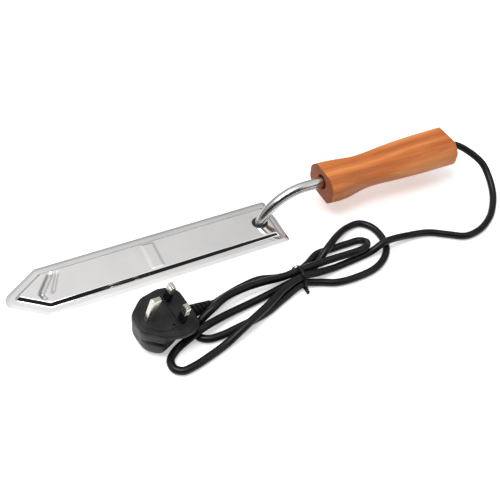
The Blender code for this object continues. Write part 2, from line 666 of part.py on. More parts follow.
def make_cord():
    """The free mains lead: a round tube along its route."""
    tip_x = PLUG_REAR_X + GAP + BOOT_LENGTH + GAP
    start = Vector((HANDLE_REAR_X + GAP, 0, TUBE_Z))
    straight = Vector((CORD_STRAIGHT, 0, 0))
    route = [start + straight] + CORD_ROUTE
    route.append(plug_point(tip_x + CORD_STRAIGHT, 0, -CORD_DEPTH))
    data = bpy.data.curves.new("power_cord", "CURVE")
    data.dimensions = "3D"
    data.bevel_depth = CORD_RADIUS * MM
    data.bevel_resolution = 2
    data.use_fill_caps = True
    data.resolution_u = 1
    spline = data.splines.new("POLY")
    points = [start] + thinned(smooth_route(route), CORD_POINTS - 2)
    points.append(plug_point(tip_x, 0, -CORD_DEPTH))
    for point in points:
        point.z = max(point.z, CORD_RADIUS + CORD_LIFT)
    spline.points.add(len(points) - 1)
    for spot, point in zip(spline.points, points):
        spot.co = (*(point * MM), 1.0)
    spline.use_smooth = True
    data.materials.append(material(*BLACK_PVC))
    cord = bpy.data.objects.new("power_cord", data)
    bpy.context.scene.collection.objects.link(cord)


def make_tie():
    """Flat wire tie bent round the strands, its two ends side by side."""
    half = TIE_THICKNESS / 2
    turn = []
    for y, z, direction, away in TIE_TURN:
        reach = CORD_RADIUS + half + away
        angle = math.radians(direction)
        turn.append((y + reach * math.cos(angle), z + reach * math.sin(angle)))
    outline = TIE_TAIL_OUT + turn + TIE_TAIL_BACK
    rings = []
    for k, (y, z) in enumerate(outline):
        before = Vector(outline[max(k - 1, 0)])
        after = Vector(outline[min(k + 1, len(outline) - 1)])
        along = (after - before).normalized()
        out = Vector((-along.y, along.x)) * half
        ring = []
        for side, sign in ((-1, 1), (1, 1), (1, -1), (-1, -1)):
            ring.append((TIE_X + side * TIE_WIDTH / 2, y + sign * out.x, z + sign * out.y))
        rings.append(ring)
    add_loft("twist_tie", rings, BLACK_PVC)


# ---- plug --------------------------------------------------------------------------------
def plug_depth(x, y):
    """Distance from the pin face, along the pins, down to the surface the plug lies on."""
    lean = PLUG_FRAME.to_3x3()
    return (PLUG_FACE_POS[2] + lean[2][0] * x + lean[2][1] * y) / lean[2][2]


def plug_outline(inset):
    """Outline of the pin face: round at the earth pin, widest at the line pins."""
    front, rear, wide = PLUG_FRONT - inset, PLUG_REAR_X - inset, PLUG_HALF_WIDTH - inset
    corners = [(-front, -9), (-8, -wide + 3.5), (9, -wide), (rear, -wide + 1.5),
               (rear, wide - 1.5), (9, wide), (-8, wide - 3.5), (-front, 9)]
    return rounded(corners, [9, 14, 14, 8, 8, 14, 14, 9], 4)


def block(name, size, low, high, middle, finish, frame, inner=None, chamfer=0.0):
    """A rectangular bar along the pins' direction, or a sleeve when inner is given."""
    def ring(width, length, z):
        x, y = middle
        return [(x - width / 2, y - length / 2, z), (x + width / 2, y - length / 2, z),
                (x + width / 2, y + length / 2, z), (x - width / 2, y + length / 2, z)]

    rings = [ring(*size, low), ring(*size, high - chamfer)]
    if chamfer:
        rings.append(ring(size[0] - 2 * chamfer, size[1] - 2 * chamfer, high))
    if inner is None:
        return add_loft(name, rings, finish, frame=frame)
    rings += [ring(*inner, high), ring(*inner, low)]
    return add_loft(name, rings, finish, closed=True, frame=frame)


def grip_outline(inset):
    """Outline of the grip behind the flange: flush at the earth pin, narrow at the lead."""
    points = []
    for x, y in plug_outline(inset):
        along = max(0.0, (x - GRIP_START_X) / (PLUG_REAR_X - GRIP_START_X))
        points.append((x - GRIP_REAR_STEP * along, y * (1 - (1 - GRIP_NARROWING) * along)))
    return points


def make_plug_body(frame):
    """Moulded flange and grip, with pockets for the pins and the fuse carrier."""
    rings = []
    for inset, depth in ((FLANGE_ROUNDING, 0.0), (0.0, FLANGE_ROUNDING),
                         (0.0, FLANGE_THICKNESS)):
        rings.append([(x, y, -depth) for x, y in plug_outline(inset)])
    for inset, share in GRIP_LEVELS:
        rings.append([(x, y, -FLANGE_THICKNESS - (plug_depth(x, y) - FLANGE_THICKNESS) * share)
                      for x, y in grip_outline(inset)])
    body = add_loft("plug_body", rings[::-1], BLACK_PLASTIC, frame=frame)

    cutters = []
    root = PIN_ROOT + GAP
    pockets = [("earth_pocket", EARTH_PIN_SIZE, (-PIN_SPACING / 2, 0), root),
               ("live_pocket", LINE_PIN_SIZE, (PIN_SPACING / 2, PIN_SPACING / 2), root),
               ("neutral_pocket", LINE_PIN_SIZE, (PIN_SPACING / 2, -PIN_SPACING / 2), root),
               ("carrier_pocket", CARRIER_SIZE, (CARRIER_X, 0),
                CARRIER_DEPTH + CONTACT_THICKNESS + 2 * GAP)]
    for name, (wide, long), (x, y), deep in pockets:
        low = (x - wide / 2 - GAP, y - long / 2 - GAP, -deep)
        high = (x + wide / 2 + GAP, y + long / 2 + GAP, 2.0)
        cutters.append(add_cutter(name, *box(low, high), frame))
    cut(body, cutters)


def make_pins(frame):
    """Three pins; the live and neutral ones have an insulating sleeve at the root."""
    block("earth_pin", EARTH_PIN_SIZE, -PIN_ROOT, EARTH_PIN_LENGTH, (-PIN_SPACING / 2, 0),
          BRASS, frame, chamfer=PIN_CHAMFER)
    for name, side in (("live", 1), ("neutral", -1)):
        middle = (PIN_SPACING / 2, side * PIN_SPACING / 2)
        waist = [size - 2 * (SLEEVE_WALL + 0.05) for size in LINE_PIN_SIZE]
        bore = [size - 2 * SLEEVE_WALL for size in LINE_PIN_SIZE]

        def ring(size, z, centre=middle):
            x, y = centre
            wide, long = size[0] / 2, size[1] / 2
            return [(x - wide, y - long, z), (x + wide, y - long, z),
                    (x + wide, y + long, z), (x - wide, y + long, z)]

        step = SLEEVE_LENGTH + GAP / 3
        tip = [size - 2 * PIN_CHAMFER for size in LINE_PIN_SIZE]
        add_loft(name + "_pin", [
            ring(waist, -PIN_ROOT), ring(waist, step), ring(LINE_PIN_SIZE, step),
            ring(LINE_PIN_SIZE, LINE_PIN_LENGTH - PIN_CHAMFER), ring(tip, LINE_PIN_LENGTH),
        ], BRASS, frame=frame)
        block(name + "_pin_sleeve", LINE_PIN_SIZE, 0, SLEEVE_LENGTH, middle, BLACK_PLASTIC,
              frame, inner=bore)


def make_fuse(frame):
    """Fuse carrier that slides out of the pin face with its fuse, and the fixed contacts."""
    wide, long = CARRIER_SIZE[0] / 2, CARRIER_SIZE[1] / 2
    inner_wide, inner_long = wide - CARRIER_WALL, long - CARRIER_WALL

    def ring(half_x, half_y, z):
        return [(-half_x, -half_y, z), (half_x, -half_y, z), (half_x, half_y, z),
                (-half_x, half_y, z)]

    slider = bpy.data.objects.new("carrier_slide", None)
    bpy.context.scene.collection.objects.link(slider)
    slider.parent = frame
    slider.location = (CARRIER_X * MM, 0, 0)
    add_loft("fuse_carrier", [
        ring(inner_wide, inner_long, -CARRIER_TOP), ring(inner_wide, inner_long, -CARRIER_DEPTH),
        ring(wide, long, -CARRIER_DEPTH), ring(wide, long, -GAP),
    ], BLACK_PLASTIC, frame=slider)

    fuse_z = -CARRIER_TOP - GAP - FUSE_RADIUS
    cap_inner = FUSE_RADIUS - FUSE_CAP_WALL
    barrel_half = FUSE_LENGTH / 2 - FUSE_CAP_WALL - GAP / 2

    def hoop(radius, y):
        return [(x, y, fuse_z + z) for x, z in circle(radius, 16)]

    add_loft("fuse_barrel", [hoop(cap_inner - GAP / 2, -barrel_half),
                             hoop(cap_inner - GAP / 2, barrel_half)], CERAMIC, frame=slider)
    for name, side in (("live", 1), ("load", -1)):
        end = side * FUSE_LENGTH / 2
        mouth = end - side * FUSE_CAP_LENGTH
        floor = end - side * FUSE_CAP_WALL
        add_loft("fuse_cap_" + name, [hoop(cap_inner, floor), hoop(cap_inner, mouth),
                                      hoop(FUSE_RADIUS, mouth), hoop(FUSE_RADIUS, end)],
                 BRASS, frame=slider)
        middle = end - side * FUSE_CAP_LENGTH / 2
        low_z = -CARRIER_DEPTH - GAP - CONTACT_THICKNESS
        low = (CARRIER_X - FUSE_RADIUS + 0.4, middle - CONTACT_LENGTH / 2, low_z)
        high = (CARRIER_X + FUSE_RADIUS - 0.4, middle + CONTACT_LENGTH / 2, low_z + CONTACT_THICKNESS)
        add_mesh("fuse_contact_" + name, *box(low, high), BRASS, frame)


def make_boot(frame):
    """Ribbed strain relief, tapering from the plug to the lead."""
    start = PLUG_REAR_X + GAP
    rings = []
    stations = 4 * BOOT_RIBS
    for k in range(stations + 1):
        share = k / stations
        radius = BOOT_RADIUS + (BOOT_TIP_RADIUS - BOOT_RADIUS) * share
        groove = 0.9 if k % 4 in (2, 3) else 0.0
        x = start + BOOT_LENGTH * share
        rings.append([(x, y, -CORD_DEPTH + z) for y, z in circle(radius - groove, 20)])
    add_loft("strain_relief", rings, BLACK_PVC, frame=frame)


def make_plug():
    frame = bpy.data.objects.new("plug_frame", None)
    bpy.context.scene.collection.objects.link(frame)
    frame.matrix_world = Matrix.Translation(PLUG_FRAME.translation * MM) @ PLUG_FRAME.to_3x3().to_4x4()
    make_plug_body(frame)
    make_pins(frame)
    make_fuse(frame)
    make_boot(frame)


def main():
    clear_scene()
    make_blade()
    make_heater()
    make_shank()
    make_handle()
    make_wiring()
    make_cord()
    make_tie()
    make_plug()
    bpy.context.view_layer.update()


main()
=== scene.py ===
# %% [markdown]
# # An electric uncapping knife
#
# A beekeeper warms this knife and slides it under the wax caps of a honeycomb.  It has a
# polished steel blade with a heater under a pressed cover, a bent tube for a shank, a
# varnished wooden handle and a black lead, folded and tied, that ends in a three-pin plug.
# The solid model is already made; this notebook gives it its finished surfaces.

# %% Load the model
import math

import bmesh
import bpy
import numpy as np
from mathutils import Matrix, Vector


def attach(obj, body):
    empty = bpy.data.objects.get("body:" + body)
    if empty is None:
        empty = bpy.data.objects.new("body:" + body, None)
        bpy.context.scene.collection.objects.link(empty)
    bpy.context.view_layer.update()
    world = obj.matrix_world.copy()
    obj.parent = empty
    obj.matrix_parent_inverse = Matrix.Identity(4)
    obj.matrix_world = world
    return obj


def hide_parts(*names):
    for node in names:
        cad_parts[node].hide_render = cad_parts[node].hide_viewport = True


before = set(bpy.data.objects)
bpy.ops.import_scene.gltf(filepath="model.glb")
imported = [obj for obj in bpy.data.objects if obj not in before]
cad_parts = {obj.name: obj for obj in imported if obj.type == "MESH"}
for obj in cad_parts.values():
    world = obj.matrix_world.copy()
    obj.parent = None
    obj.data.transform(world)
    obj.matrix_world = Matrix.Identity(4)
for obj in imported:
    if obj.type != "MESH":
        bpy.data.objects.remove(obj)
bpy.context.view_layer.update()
MM = 0.001
print("solid parts:", len(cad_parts))

# %% [markdown]
# ## The camera
#
# The camera looks down on the knife from the tip's side.  Its place is worked out from two
# angles, a distance and a target, because those are easy to read and to change; a small
# roll tips the picture the way a hand-held camera would.

# %% Place the camera
CAMERA_AZIMUTH = math.radians(-29.29)
CAMERA_ELEVATION = math.radians(47.11)
CAMERA_ROLL = math.radians(4.67)
CAMERA_TARGET = Vector((-0.02131, -0.02409, 0.0))
CAMERA_DISTANCE = 0.62266

back = Vector((math.sin(CAMERA_AZIMUTH) * math.cos(CAMERA_ELEVATION),
               -math.cos(CAMERA_AZIMUTH) * math.cos(CAMERA_ELEVATION),
               math.sin(CAMERA_ELEVATION)))
level = Vector((math.cos(CAMERA_AZIMUTH), math.sin(CAMERA_AZIMUTH), 0.0))
upward = back.cross(level)
right = math.cos(CAMERA_ROLL) * level + math.sin(CAMERA_ROLL) * upward
up = back.cross(right)

camera = bpy.data.objects.new("camera", bpy.data.cameras.new("camera"))
camera.data.lens = 50
camera.matrix_world = Matrix.Translation(CAMERA_TARGET + back * CAMERA_DISTANCE) @ Matrix(
    (right, up, back)).transposed().to_4x4()
bpy.context.scene.collection.objects.link(camera)
bpy.context.scene.camera = camera
print("camera at", [round(v, 3) for v in camera.location])

# %% [markdown]
# ## Tools for shapes
#
# Nearly every piece here is a skin over rings: a row of closed outlines, one after the
# other.  Writing that once, with whole arrays, keeps each piece down to the few lines that
# say what its outlines are.

# %% Skins over rings of points
def finish_mesh(name, points, faces, crease=32.0):
    """Make a mesh from millimetre points, with its faces turned outwards.

    Edges sharper than the crease angle, in degrees, stay sharp; the rest shade smoothly.
    """
    mesh = bpy.data.meshes.new(name)
    mesh.from_pydata((np.asarray(points) * MM).tolist(), [], faces)
    shape = bmesh.new()
    shape.from_mesh(mesh)
    bmesh.ops.remove_doubles(shape, verts=shape.verts, dist=1e-7)
    bmesh.ops.recalc_face_normals(shape, faces=shape.faces)
    shape.to_mesh(mesh)
    shape.free()
    mesh.shade_smooth()
    mesh.set_sharp_from_angle(angle=math.radians(crease))
    item = bpy.data.objects.new(name, mesh)
    bpy.context.scene.collection.objects.link(item)
    print(name, "has", len(mesh.polygons), "faces")
    return item


def ring_faces(rows, columns, loop):
    """Quads between neighbouring rings: point j of ring i meets point j of ring i + 1."""
    i, j = np.meshgrid(np.arange(rows if loop else rows - 1), np.arange(columns),
                       indexing="ij")
    after, beside = (i + 1) % rows, (j + 1) % columns
    corners = [i * columns + j, i * columns + beside, after * columns + beside,
               after * columns + j]
    return np.stack(corners, -1).reshape(-1, 4).tolist()


def skin(name, rings, loop=False, crease=32.0):
    """A closed skin over rings shaped (rings, points, 3); loop joins the last to the first."""
    rings = np.asarray(rings, float)
    rows, columns = rings.shape[:2]
    faces = ring_faces(rows, columns, loop)
    if not loop:
        faces.append(list(range(columns))[::-1])
        faces.append(list(range((rows - 1) * columns, rows * columns)))
    return finish_mesh(name, rings.reshape(-1, 3), faces, crease)


def rounded(corners, radii, steps=7, fill=0):
    """Points of a polygon whose corners are replaced by arcs that touch both sides.

    Each corner's arc has its middle on the corner's bisector, radius / sin(half angle)
    away; steps is the number of pieces in each arc, fill the points added on each side.
    """
    corners = np.asarray(corners, float)
    to_back = np.roll(corners, 1, 0) - corners
    to_next = np.roll(corners, -1, 0) - corners
    to_back /= np.linalg.norm(to_back, axis=1)[:, None]
    to_next /= np.linalg.norm(to_next, axis=1)[:, None]
    half = np.arccos(np.clip((to_back * to_next).sum(1), -1, 1)) / 2
    radii = np.asarray(radii, float)
    bisector = to_back + to_next
    bisector /= np.linalg.norm(bisector, axis=1)[:, None]
    middle = corners + bisector * (radii / np.sin(half))[:, None]
    start = corners + to_back * (radii / np.tan(half))[:, None] - middle
    side = np.where(to_back[:, 0] * to_next[:, 1] - to_back[:, 1] * to_next[:, 0] < 0, 1, -1)
    angle = (side * (math.pi - 2 * half))[:, None] * np.linspace(0, 1, steps + 1)
    x = middle[:, :1] + start[:, :1] * np.cos(angle) - start[:, 1:] * np.sin(angle)
    y = middle[:, 1:] + start[:, :1] * np.sin(angle) + start[:, 1:] * np.cos(angle)
    arcs = np.stack([x, y], -1)
    if fill:
        share = np.linspace(0, 1, fill + 2)[1:-1][:, None]
        ends, begins = arcs[:, -1:], np.roll(arcs, -1, 0)[:, :1]
        arcs = np.concatenate([arcs, ends + (begins - ends) * share], 1)
    return arcs.reshape(-1, 2)


def smooth_through(points, steps):
    """Centripetal Catmull-Rom curve: cubic pieces that pass through every point."""
    points = np.asarray(points, float)
    points = np.vstack([2 * points[0] - points[1], points, 2 * points[-1] - points[-2]])
    gaps = np.sqrt(np.linalg.norm(np.diff(points, axis=0), axis=1))
    knots = np.concatenate([[0.0], np.cumsum(gaps)])
    p0, p1, p2, p3 = (points[k:len(points) - 3 + k, None] for k in range(4))
    t0, t1, t2, t3 = (knots[k:len(points) - 3 + k, None, None] for k in range(4))
    t = t1 + (t2 - t1) * np.linspace(0, 1, steps, endpoint=False)[None, :, None]
    a1 = (p0 * (t1 - t) + p1 * (t - t0)) / (t1 - t0)
    a2 = (p1 * (t2 - t) + p2 * (t - t1)) / (t2 - t1)
    a3 = (p2 * (t3 - t) + p3 * (t - t2)) / (t3 - t2)
    b1 = (a1 * (t2 - t) + a2 * (t - t0)) / (t2 - t0)
    b2 = (a2 * (t3 - t) + a3 * (t - t1)) / (t3 - t1)
    curve = (b1 * (t2 - t) + b2 * (t - t1)) / (t2 - t1)
    return np.vstack([curve.reshape(-1, points.shape[1]), points[-2]])


def dress(piece, body, replaced, *finishes):
    """Give a piece its materials, let it ride on a body and stand for its solid parts."""
    for finish in finishes:
        piece.data.materials.append(finish)
    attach(piece, body)
    if replaced:
        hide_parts(*replaced)
    return piece


# %% [markdown]
# ## Tools for finishes
#
# A real surface is never one flat colour.  Two small node groups carry what most of these
# materials share: a fine grain, as of moulded plastic, and soft smudges, as of handling.
# Each material places them with its own scale and strength.

# %% Node helpers and shared groups
def new_finish(name, colour, roughness, metallic=0.0):
    """A material with a Principled shader set to the given values."""
    finish = bpy.data.materials.new(name)
    finish.use_nodes = True
    shader = finish.node_tree.nodes["Principled BSDF"]
    shader.inputs["Base Color"].default_value = (*colour, 1.0)
    shader.inputs["Roughness"].default_value = roughness
    shader.inputs["Metallic"].default_value = metallic
    return finish, shader


def add_node(tree, kind, **settings):
    """Add a node; settings whose names are its inputs set those, others its properties."""
    made = tree.nodes.new(kind)
    for key, value in settings.items():
        label = key.replace("_", " ").title()
        if label in made.inputs:
            made.inputs[label].default_value = value
        else:
            setattr(made, key, value)
    return made


def ramp(tree, source, stops):
    """A colour ramp fed by source; stops are (place, grey or colour)."""
    made = tree.nodes.new("ShaderNodeValToRGB")
    while len(made.color_ramp.elements) < len(stops):
        made.color_ramp.elements.new(0.5)
    for element, (place, colour) in zip(made.color_ramp.elements, stops):
        element.position = place
        element.color = (*colour, 1.0) if isinstance(colour, tuple) else (*[colour] * 3, 1.0)
    tree.links.new(source, made.inputs["Fac"])
    return made.outputs["Color"]


def grain_group(name, detail, low, high):
    """A node group: noise on object coordinates, stretched by Stretch, cut to a mask."""
    group = bpy.data.node_groups.new(name, "ShaderNodeTree")
    group.interface.new_socket("Scale", in_out="INPUT", socket_type="NodeSocketFloat")
    group.interface.new_socket("Stretch", in_out="INPUT", socket_type="NodeSocketVector")
    group.interface.new_socket("Mask", in_out="OUTPUT", socket_type="NodeSocketFloat")
    entry = group.nodes.new("NodeGroupInput")
    leave = group.nodes.new("NodeGroupOutput")
    place = group.nodes.new("ShaderNodeTexCoord")
    stretch = add_node(group, "ShaderNodeVectorMath", operation="MULTIPLY")
    noise = add_node(group, "ShaderNodeTexNoise", detail=detail)
    limit = add_node(group, "ShaderNodeMapRange", from_min=low, from_max=high)
    group.links.new(place.outputs["Object"], stretch.inputs[0])
    group.links.new(entry.outputs["Stretch"], stretch.inputs[1])
    group.links.new(stretch.outputs[0], noise.inputs["Vector"])
    group.links.new(entry.outputs["Scale"], noise.inputs["Scale"])
    group.links.new(noise.outputs["Fac"], limit.inputs["Value"])
    group.links.new(limit.outputs["Result"], leave.inputs["Mask"])
    return group


GRAIN = grain_group("fine_grain", 3.0, 0.3, 0.7)
SMUDGE = grain_group("soft_smudge", 2.0, 0.35, 0.75)


def mask(tree, group, scale, stretch=(1.0, 1.0, 1.0)):
    """Place a shared group in a material and give back its mask."""
    made = tree.nodes.new("ShaderNodeGroup")
    made.node_tree = group
    made.inputs["Scale"].default_value = scale
    made.inputs["Stretch"].default_value = stretch
    return made.outputs["Mask"]


def spread(tree, value, low, high):
    """Map a mask from 0..1 to low..high."""
    made = add_node(tree, "ShaderNodeMapRange", to_min=low, to_max=high)
    tree.links.new(value, made.inputs["Value"])
    return made.outputs["Result"]


def bump(tree, shader, height, distance, strength=1.0):
    """Feed a height, in shares of distance in metres, to the shader's normal."""
    made = add_node(tree, "ShaderNodeBump", distance=distance, strength=strength)
    tree.links.new(height, made.inputs["Height"])
    earlier = shader.inputs["Normal"].links
    if earlier:
        tree.links.new(earlier[0].from_socket, made.inputs["Normal"])
    tree.links.new(made.outputs["Normal"], shader.inputs["Normal"])


def mottled(name, dark, light, roughness, metallic=0.0, grain=1200.0, depth=0.00004,
            stretch=(1.0, 1.0, 1.0)):
    """A finish that wanders between two colours, with grain in its height and gloss."""
    finish, shader = new_finish(name, light, roughness, metallic)
    tree = finish.node_tree
    patches = mask(tree, SMUDGE, grain / 14, stretch)
    tree.links.new(ramp(tree, patches, [(0.0, dark), (1.0, light)]), shader.inputs["Base Color"])
    tree.links.new(spread(tree, patches, roughness * 0.85, min(roughness * 1.2, 1.0)),
                   shader.inputs["Roughness"])
    bump(tree, shader, mask(tree, GRAIN, grain, stretch), depth)
    return finish, shader


# %% [markdown]
# ## The lead
#
# The lead leaves the back of the handle, drops to the surface and comes back in a folded
# hank, two loops each side of a wire tie, before it reaches the plug.  It is one smooth
# curve through listed points, the same ones the solid model has.  A curve through
# points is right here because a real lead of this stiffness has no corners anywhere.

# %% The lead's route
CORD_RADIUS = 3.3
CORD_ROUTE = [
    (211, -0.5, 33), (217, -2.5, 31.5), (225, -9.5, 28), (233.5, -25.5, 21.5),
    (234, -40.5, 13), (229.5, -54.5, 6.5), (220, -67, 3.5), (206.5, -78.5, 3.5),
    (188, -87.5, 3.5), (170, -89, 3.5), (155, -80.5, 3.5), (140.5, -72, 3.5), (122, -69, 5),
    (91, -71, 10.5), (76, -72, 4.5), (57.5, -73.5, 3.5), (38, -75, 3.5), (18, -77.5, 8.2),
    (2, -77.6, 10.5), (-18, -83, 10.5), (-39.5, -94, 10.5), (-56.5, -101.5, 10.5),
    (-70, -106.5, 8), (-84.5, -111, 4), (-101, -116, 3.5), (-115, -119.5, 3.5),
    (-124.5, -120, 3.5), (-130, -115.5, 3.5), (-130, -107.5, 3.5), (-122.5, -100.5, 4),
    (-110, -97, 8), (-99, -94.5, 11), (-84, -89.5, 8.5), (-66.5, -84.5, 5),
    (-49.5, -81.5, 3.5), (-31, -79, 3.5), (-13.5, -76, 3.5), (2, -74, 4.7), (14, -71, 3.5),
    (26.5, -63.5, 5), (39, -57, 10.8), (54.5, -46.5, 8.5), (72, -37.5, 4.5), (86, -36.5, 3.5),
    (94, -44.5, 3.5), (96, -59.5, 3.5), (92, -73, 3.5), (83.5, -82.5, 3.5), (70, -89.5, 3.5),
    (52, -92, 3.5), (30.5, -90.5, 3.5), (15, -84, 3.5), (2, -81, 4.7), (-20, -87.5, 3.5),
    (-39.5, -95, 3.5), (-54.5, -98, 3.5), (-70, -100, 3.5), (-84, -101.5, 3.5),
    (-95, -100.5, 3.5), (-101, -96, 3.5), (-101.5, -88.5, 3.5), (-95.5, -85, 8.5),
    (-82.5, -81, 14), (-69, -74.5, 13.5), (-49.5, -70, 11), (-31, -70, 10.5),
    (-12.5, -71, 9.9), (2, -70.4, 10.6), (16.5, -70.2, 10.3), (34, -70.5, 10.8),
    (50.5, -71.5, 11.5), (62, -72, 12), (70, -70, 11), (77, -62, 7), (73.5, -55.5, 4),
    (62.5, -54.5, 3.5), (45, -54.5, 3.5), (30, -54.5, 3.5), (15.5, -62, 3.5), (2, -67, 4.7),
    (-14, -65.5, 3.5), (-31, -61, 3.5), (-48, -62.5, 3.5), (-60, -65, 3.5), (-69, -68, 4.5),
]
HANDLE_REAR_X = 201.7
TUBE_Z = 33.5
LEAD_GAP = 0.3
LEAD_STRAIGHT = 4.0

# %% [markdown]
# The lead's last stretch follows the plug, so the plug's place comes first.  The plug lies
# on its back.  Its pieces are worked out in a frame of its own, with z along the pins and x
# towards the lead, and one matrix carries them to their place.

# %% The plug's own frame
PLUG_PLACE = (Matrix.Translation(Vector((-126.2, -82.5, 30.9)))
              @ Matrix.Rotation(math.radians(5.0), 4, "X")
              @ Matrix.Rotation(math.radians(14.5), 4, "Y")
              @ Matrix.Rotation(math.radians(9.0), 4, "Z"))
PLUG_TURN = np.array(PLUG_PLACE.to_3x3())
PLUG_MIDDLE = np.array(PLUG_PLACE.translation)
BOOT_START_X = 26.3
BOOT_LENGTH = 24.0
BOOT_AXIS_Z = -12.0


def in_place(points):
    """Carry points from the plug's frame to the knife's: turn them, then add its middle."""
    return np.asarray(points, float) @ PLUG_TURN.T + PLUG_MIDDLE


# %% Lay the lead
lead_end_x = BOOT_START_X + BOOT_LENGTH + LEAD_GAP
lead_start = np.array([[HANDLE_REAR_X + LEAD_GAP, 0, TUBE_Z]])
lead_end = in_place([[lead_end_x, 0, BOOT_AXIS_Z]])
route = smooth_through(np.vstack([lead_start + [LEAD_STRAIGHT, 0, 0], CORD_ROUTE,
                                  in_place([[lead_end_x + LEAD_STRAIGHT, 0, BOOT_AXIS_Z]])]), 8)
route = np.vstack([lead_start, route, lead_end])
route[:, 2] = np.maximum(route[:, 2], CORD_RADIUS + 0.1)

lead_curve = bpy.data.curves.new("power_lead", "CURVE")
lead_curve.dimensions = "3D"
lead_curve.bevel_depth = CORD_RADIUS * MM
lead_curve.bevel_resolution = 6
lead_curve.use_fill_caps = True
spline = lead_curve.splines.new("POLY")
spline.points.add(len(route) - 1)
spline.points.foreach_set("co", np.column_stack([route * MM, np.ones(len(route))]).ravel())
spline.use_smooth = True
lead = bpy.data.objects.new("power_lead", lead_curve)
bpy.context.scene.collection.objects.link(lead)

lead_pvc, lead_shader = mottled("lead_pvc", (0.0035, 0.0035, 0.004),
                                (0.008, 0.008, 0.009), 0.33, grain=900.0, depth=0.00003)
lead_shader.inputs["Specular IOR Level"].default_value = 0.26
dress(lead, "knife", ["power_cord"], lead_pvc)

# %% [markdown]
# ## Polished steel
#
# The blade and its cover are stainless steel, pressed and buffed to a mirror.
# A mirror shows its surroundings, so its colour is nearly all reflection; what makes it
# look real is that the sheet is never quite flat and that buffing leaves faint lines.

# %% Mirror-polished steel
steel, steel_shader = new_finish("polished_steel", (0.86, 0.85, 0.84), 0.05, 1.0)
tree = steel.node_tree
tree.links.new(spread(tree, mask(tree, SMUDGE, 45.0), 0.035, 0.085),
               steel_shader.inputs["Roughness"])
tree.links.new(ramp(tree, mask(tree, SMUDGE, 30.0), [(0.0, (0.82, 0.81, 0.80)),
                                                     (1.0, (0.88, 0.87, 0.86))]),
               steel_shader.inputs["Base Color"])
bump(tree, steel_shader, mask(tree, SMUDGE, 22.0), 0.00020)
bump(tree, steel_shader, mask(tree, GRAIN, 260.0, (0.12, 2.0, 2.0)), 0.0000015)

# %% [markdown]
# ## The blade
#
# A flat plate with a pointed end carries a pressed cover, a shallow pan with rounded
# edges.  Both have the same outline at different insets, so one function gives half of
# the outline at any inset and everything else is built from it.

# %% Half of the blade's outline
BLADE_HALF = 27.5
BLADE_REAR_X = 18.0
TIP_LENGTH = 37.0
APEX_X = BLADE_REAR_X - 220.0 - TIP_LENGTH
TIP_ANGLE = math.atan2(BLADE_HALF, TIP_LENGTH)
SIDE_STATIONS = 250
TIP_STATIONS = 46
ACROSS = 81


def half_outline(inset, rear_inset):
    """One side of the outline, from the rear edge to the apex, as (x, y) rows.

    The polygon's corners are rounded; the tip's arc is cut at its middle, and points are
    spread along the straight side and along the tip's edge.
    """
    half = BLADE_HALF - inset
    rear = BLADE_REAR_X - rear_inset
    apex = APEX_X + inset / math.sin(TIP_ANGLE)
    shoulder = apex + half / math.tan(TIP_ANGLE)
    radii = [max(2.0, 3.0 - inset), max(5.0 - inset / 2, 1.5), max(11.0 - inset, 1.5)]
    corners = [(rear, half), (shoulder, half), (apex, 0), (shoulder, -half), (rear, -half)]
    arcs = rounded(corners, [*radii, radii[1], radii[0]], 12).reshape(5, 13, 2)
    tip = arcs[2][:7]
    side = np.linspace(0, 1, SIDE_STATIONS)[1:-1, None]
    edge = np.linspace(0, 1, TIP_STATIONS)[1:-1, None]
    return np.vstack([arcs[0], arcs[0][-1] + (arcs[1][0] - arcs[0][-1]) * side, arcs[1],
                      arcs[1][-1] + (tip[0] - arcs[1][-1]) * edge, tip])


def blade_ring(inset, z, rear_inset=None):
    """The whole outline at one inset and height: rear edge, far side, then near side."""
    far = half_outline(inset, inset if rear_inset is None else rear_inset)
    far[-1, 1] = 0.0
    rear = np.linspace(-1, 1, ACROSS)[1:-1, None] * [0, far[0, 1]] + [far[0, 0], 0]
    near = far[:-1][::-1] * [1, -1]
    flat = np.vstack([rear, far, near])
    return np.column_stack([flat, np.full(len(flat), z)])


# %% The base plate, ground thin along its edge
PLATE_TOP = 1.2
plate_profile = [(0.25, 0.0), (0.0, 0.06), (0.0, 0.32), (0.25, 0.42), (3.3, 1.14),
                 (3.8, PLATE_TOP)]
plate = skin("blade_plate_polished",
             np.array([blade_ring(inset, z) for inset, z in plate_profile]), crease=8)
dress(plate, "knife", ["blade_base_plate"], steel)

# %% [markdown]
# ### The cover
#
# The cover is pressed from thin sheet.  Its wall rises in a smooth S from the plate, the
# top has a raised band across it, and pressing has left two creases near the tip.  All of
# that is one height over one grid; a Solidify modifier then gives the sheet its thickness.

# %% Heights of the cover's top
COVER_FOOT = 8.0
COVER_REAR_FOOT = 5.2
COVER_WALL = 3.4
COVER_BOTTOM = 1.28
COVER_TOP = 4.2
COVER_HOLE_RADIUS = 6.2
COVER_SHEET = 0.6
BAND_MIDDLE = -104.5
BAND_HALF = 6.5
BAND_SLOPE = 2.6
BAND_RISE = 0.5


def soft_step(value):
    """0 below 0, 1 above 1, and an easy S between: 3 v squared minus 2 v cubed."""
    value = np.clip(value, 0, 1)
    return value * value * (3 - 2 * value)


def crease_depth(x, y, start, end, width, depth):
    """A fold along a line: an S-shaped slope each side, gone at width, fading at its ends."""
    start, end = np.array(start), np.array(end)
    run = end - start
    length = np.hypot(*run)
    along = ((x - start[0]) * run[0] + (y - start[1]) * run[1]) / length ** 2
    aside = np.abs((x - start[0]) * run[1] - (y - start[1]) * run[0]) / length
    fade = soft_step(along * 4 + 0.5) * soft_step((1 - along) * 4 + 0.5)
    return depth * soft_step(1 - aside / width) * fade


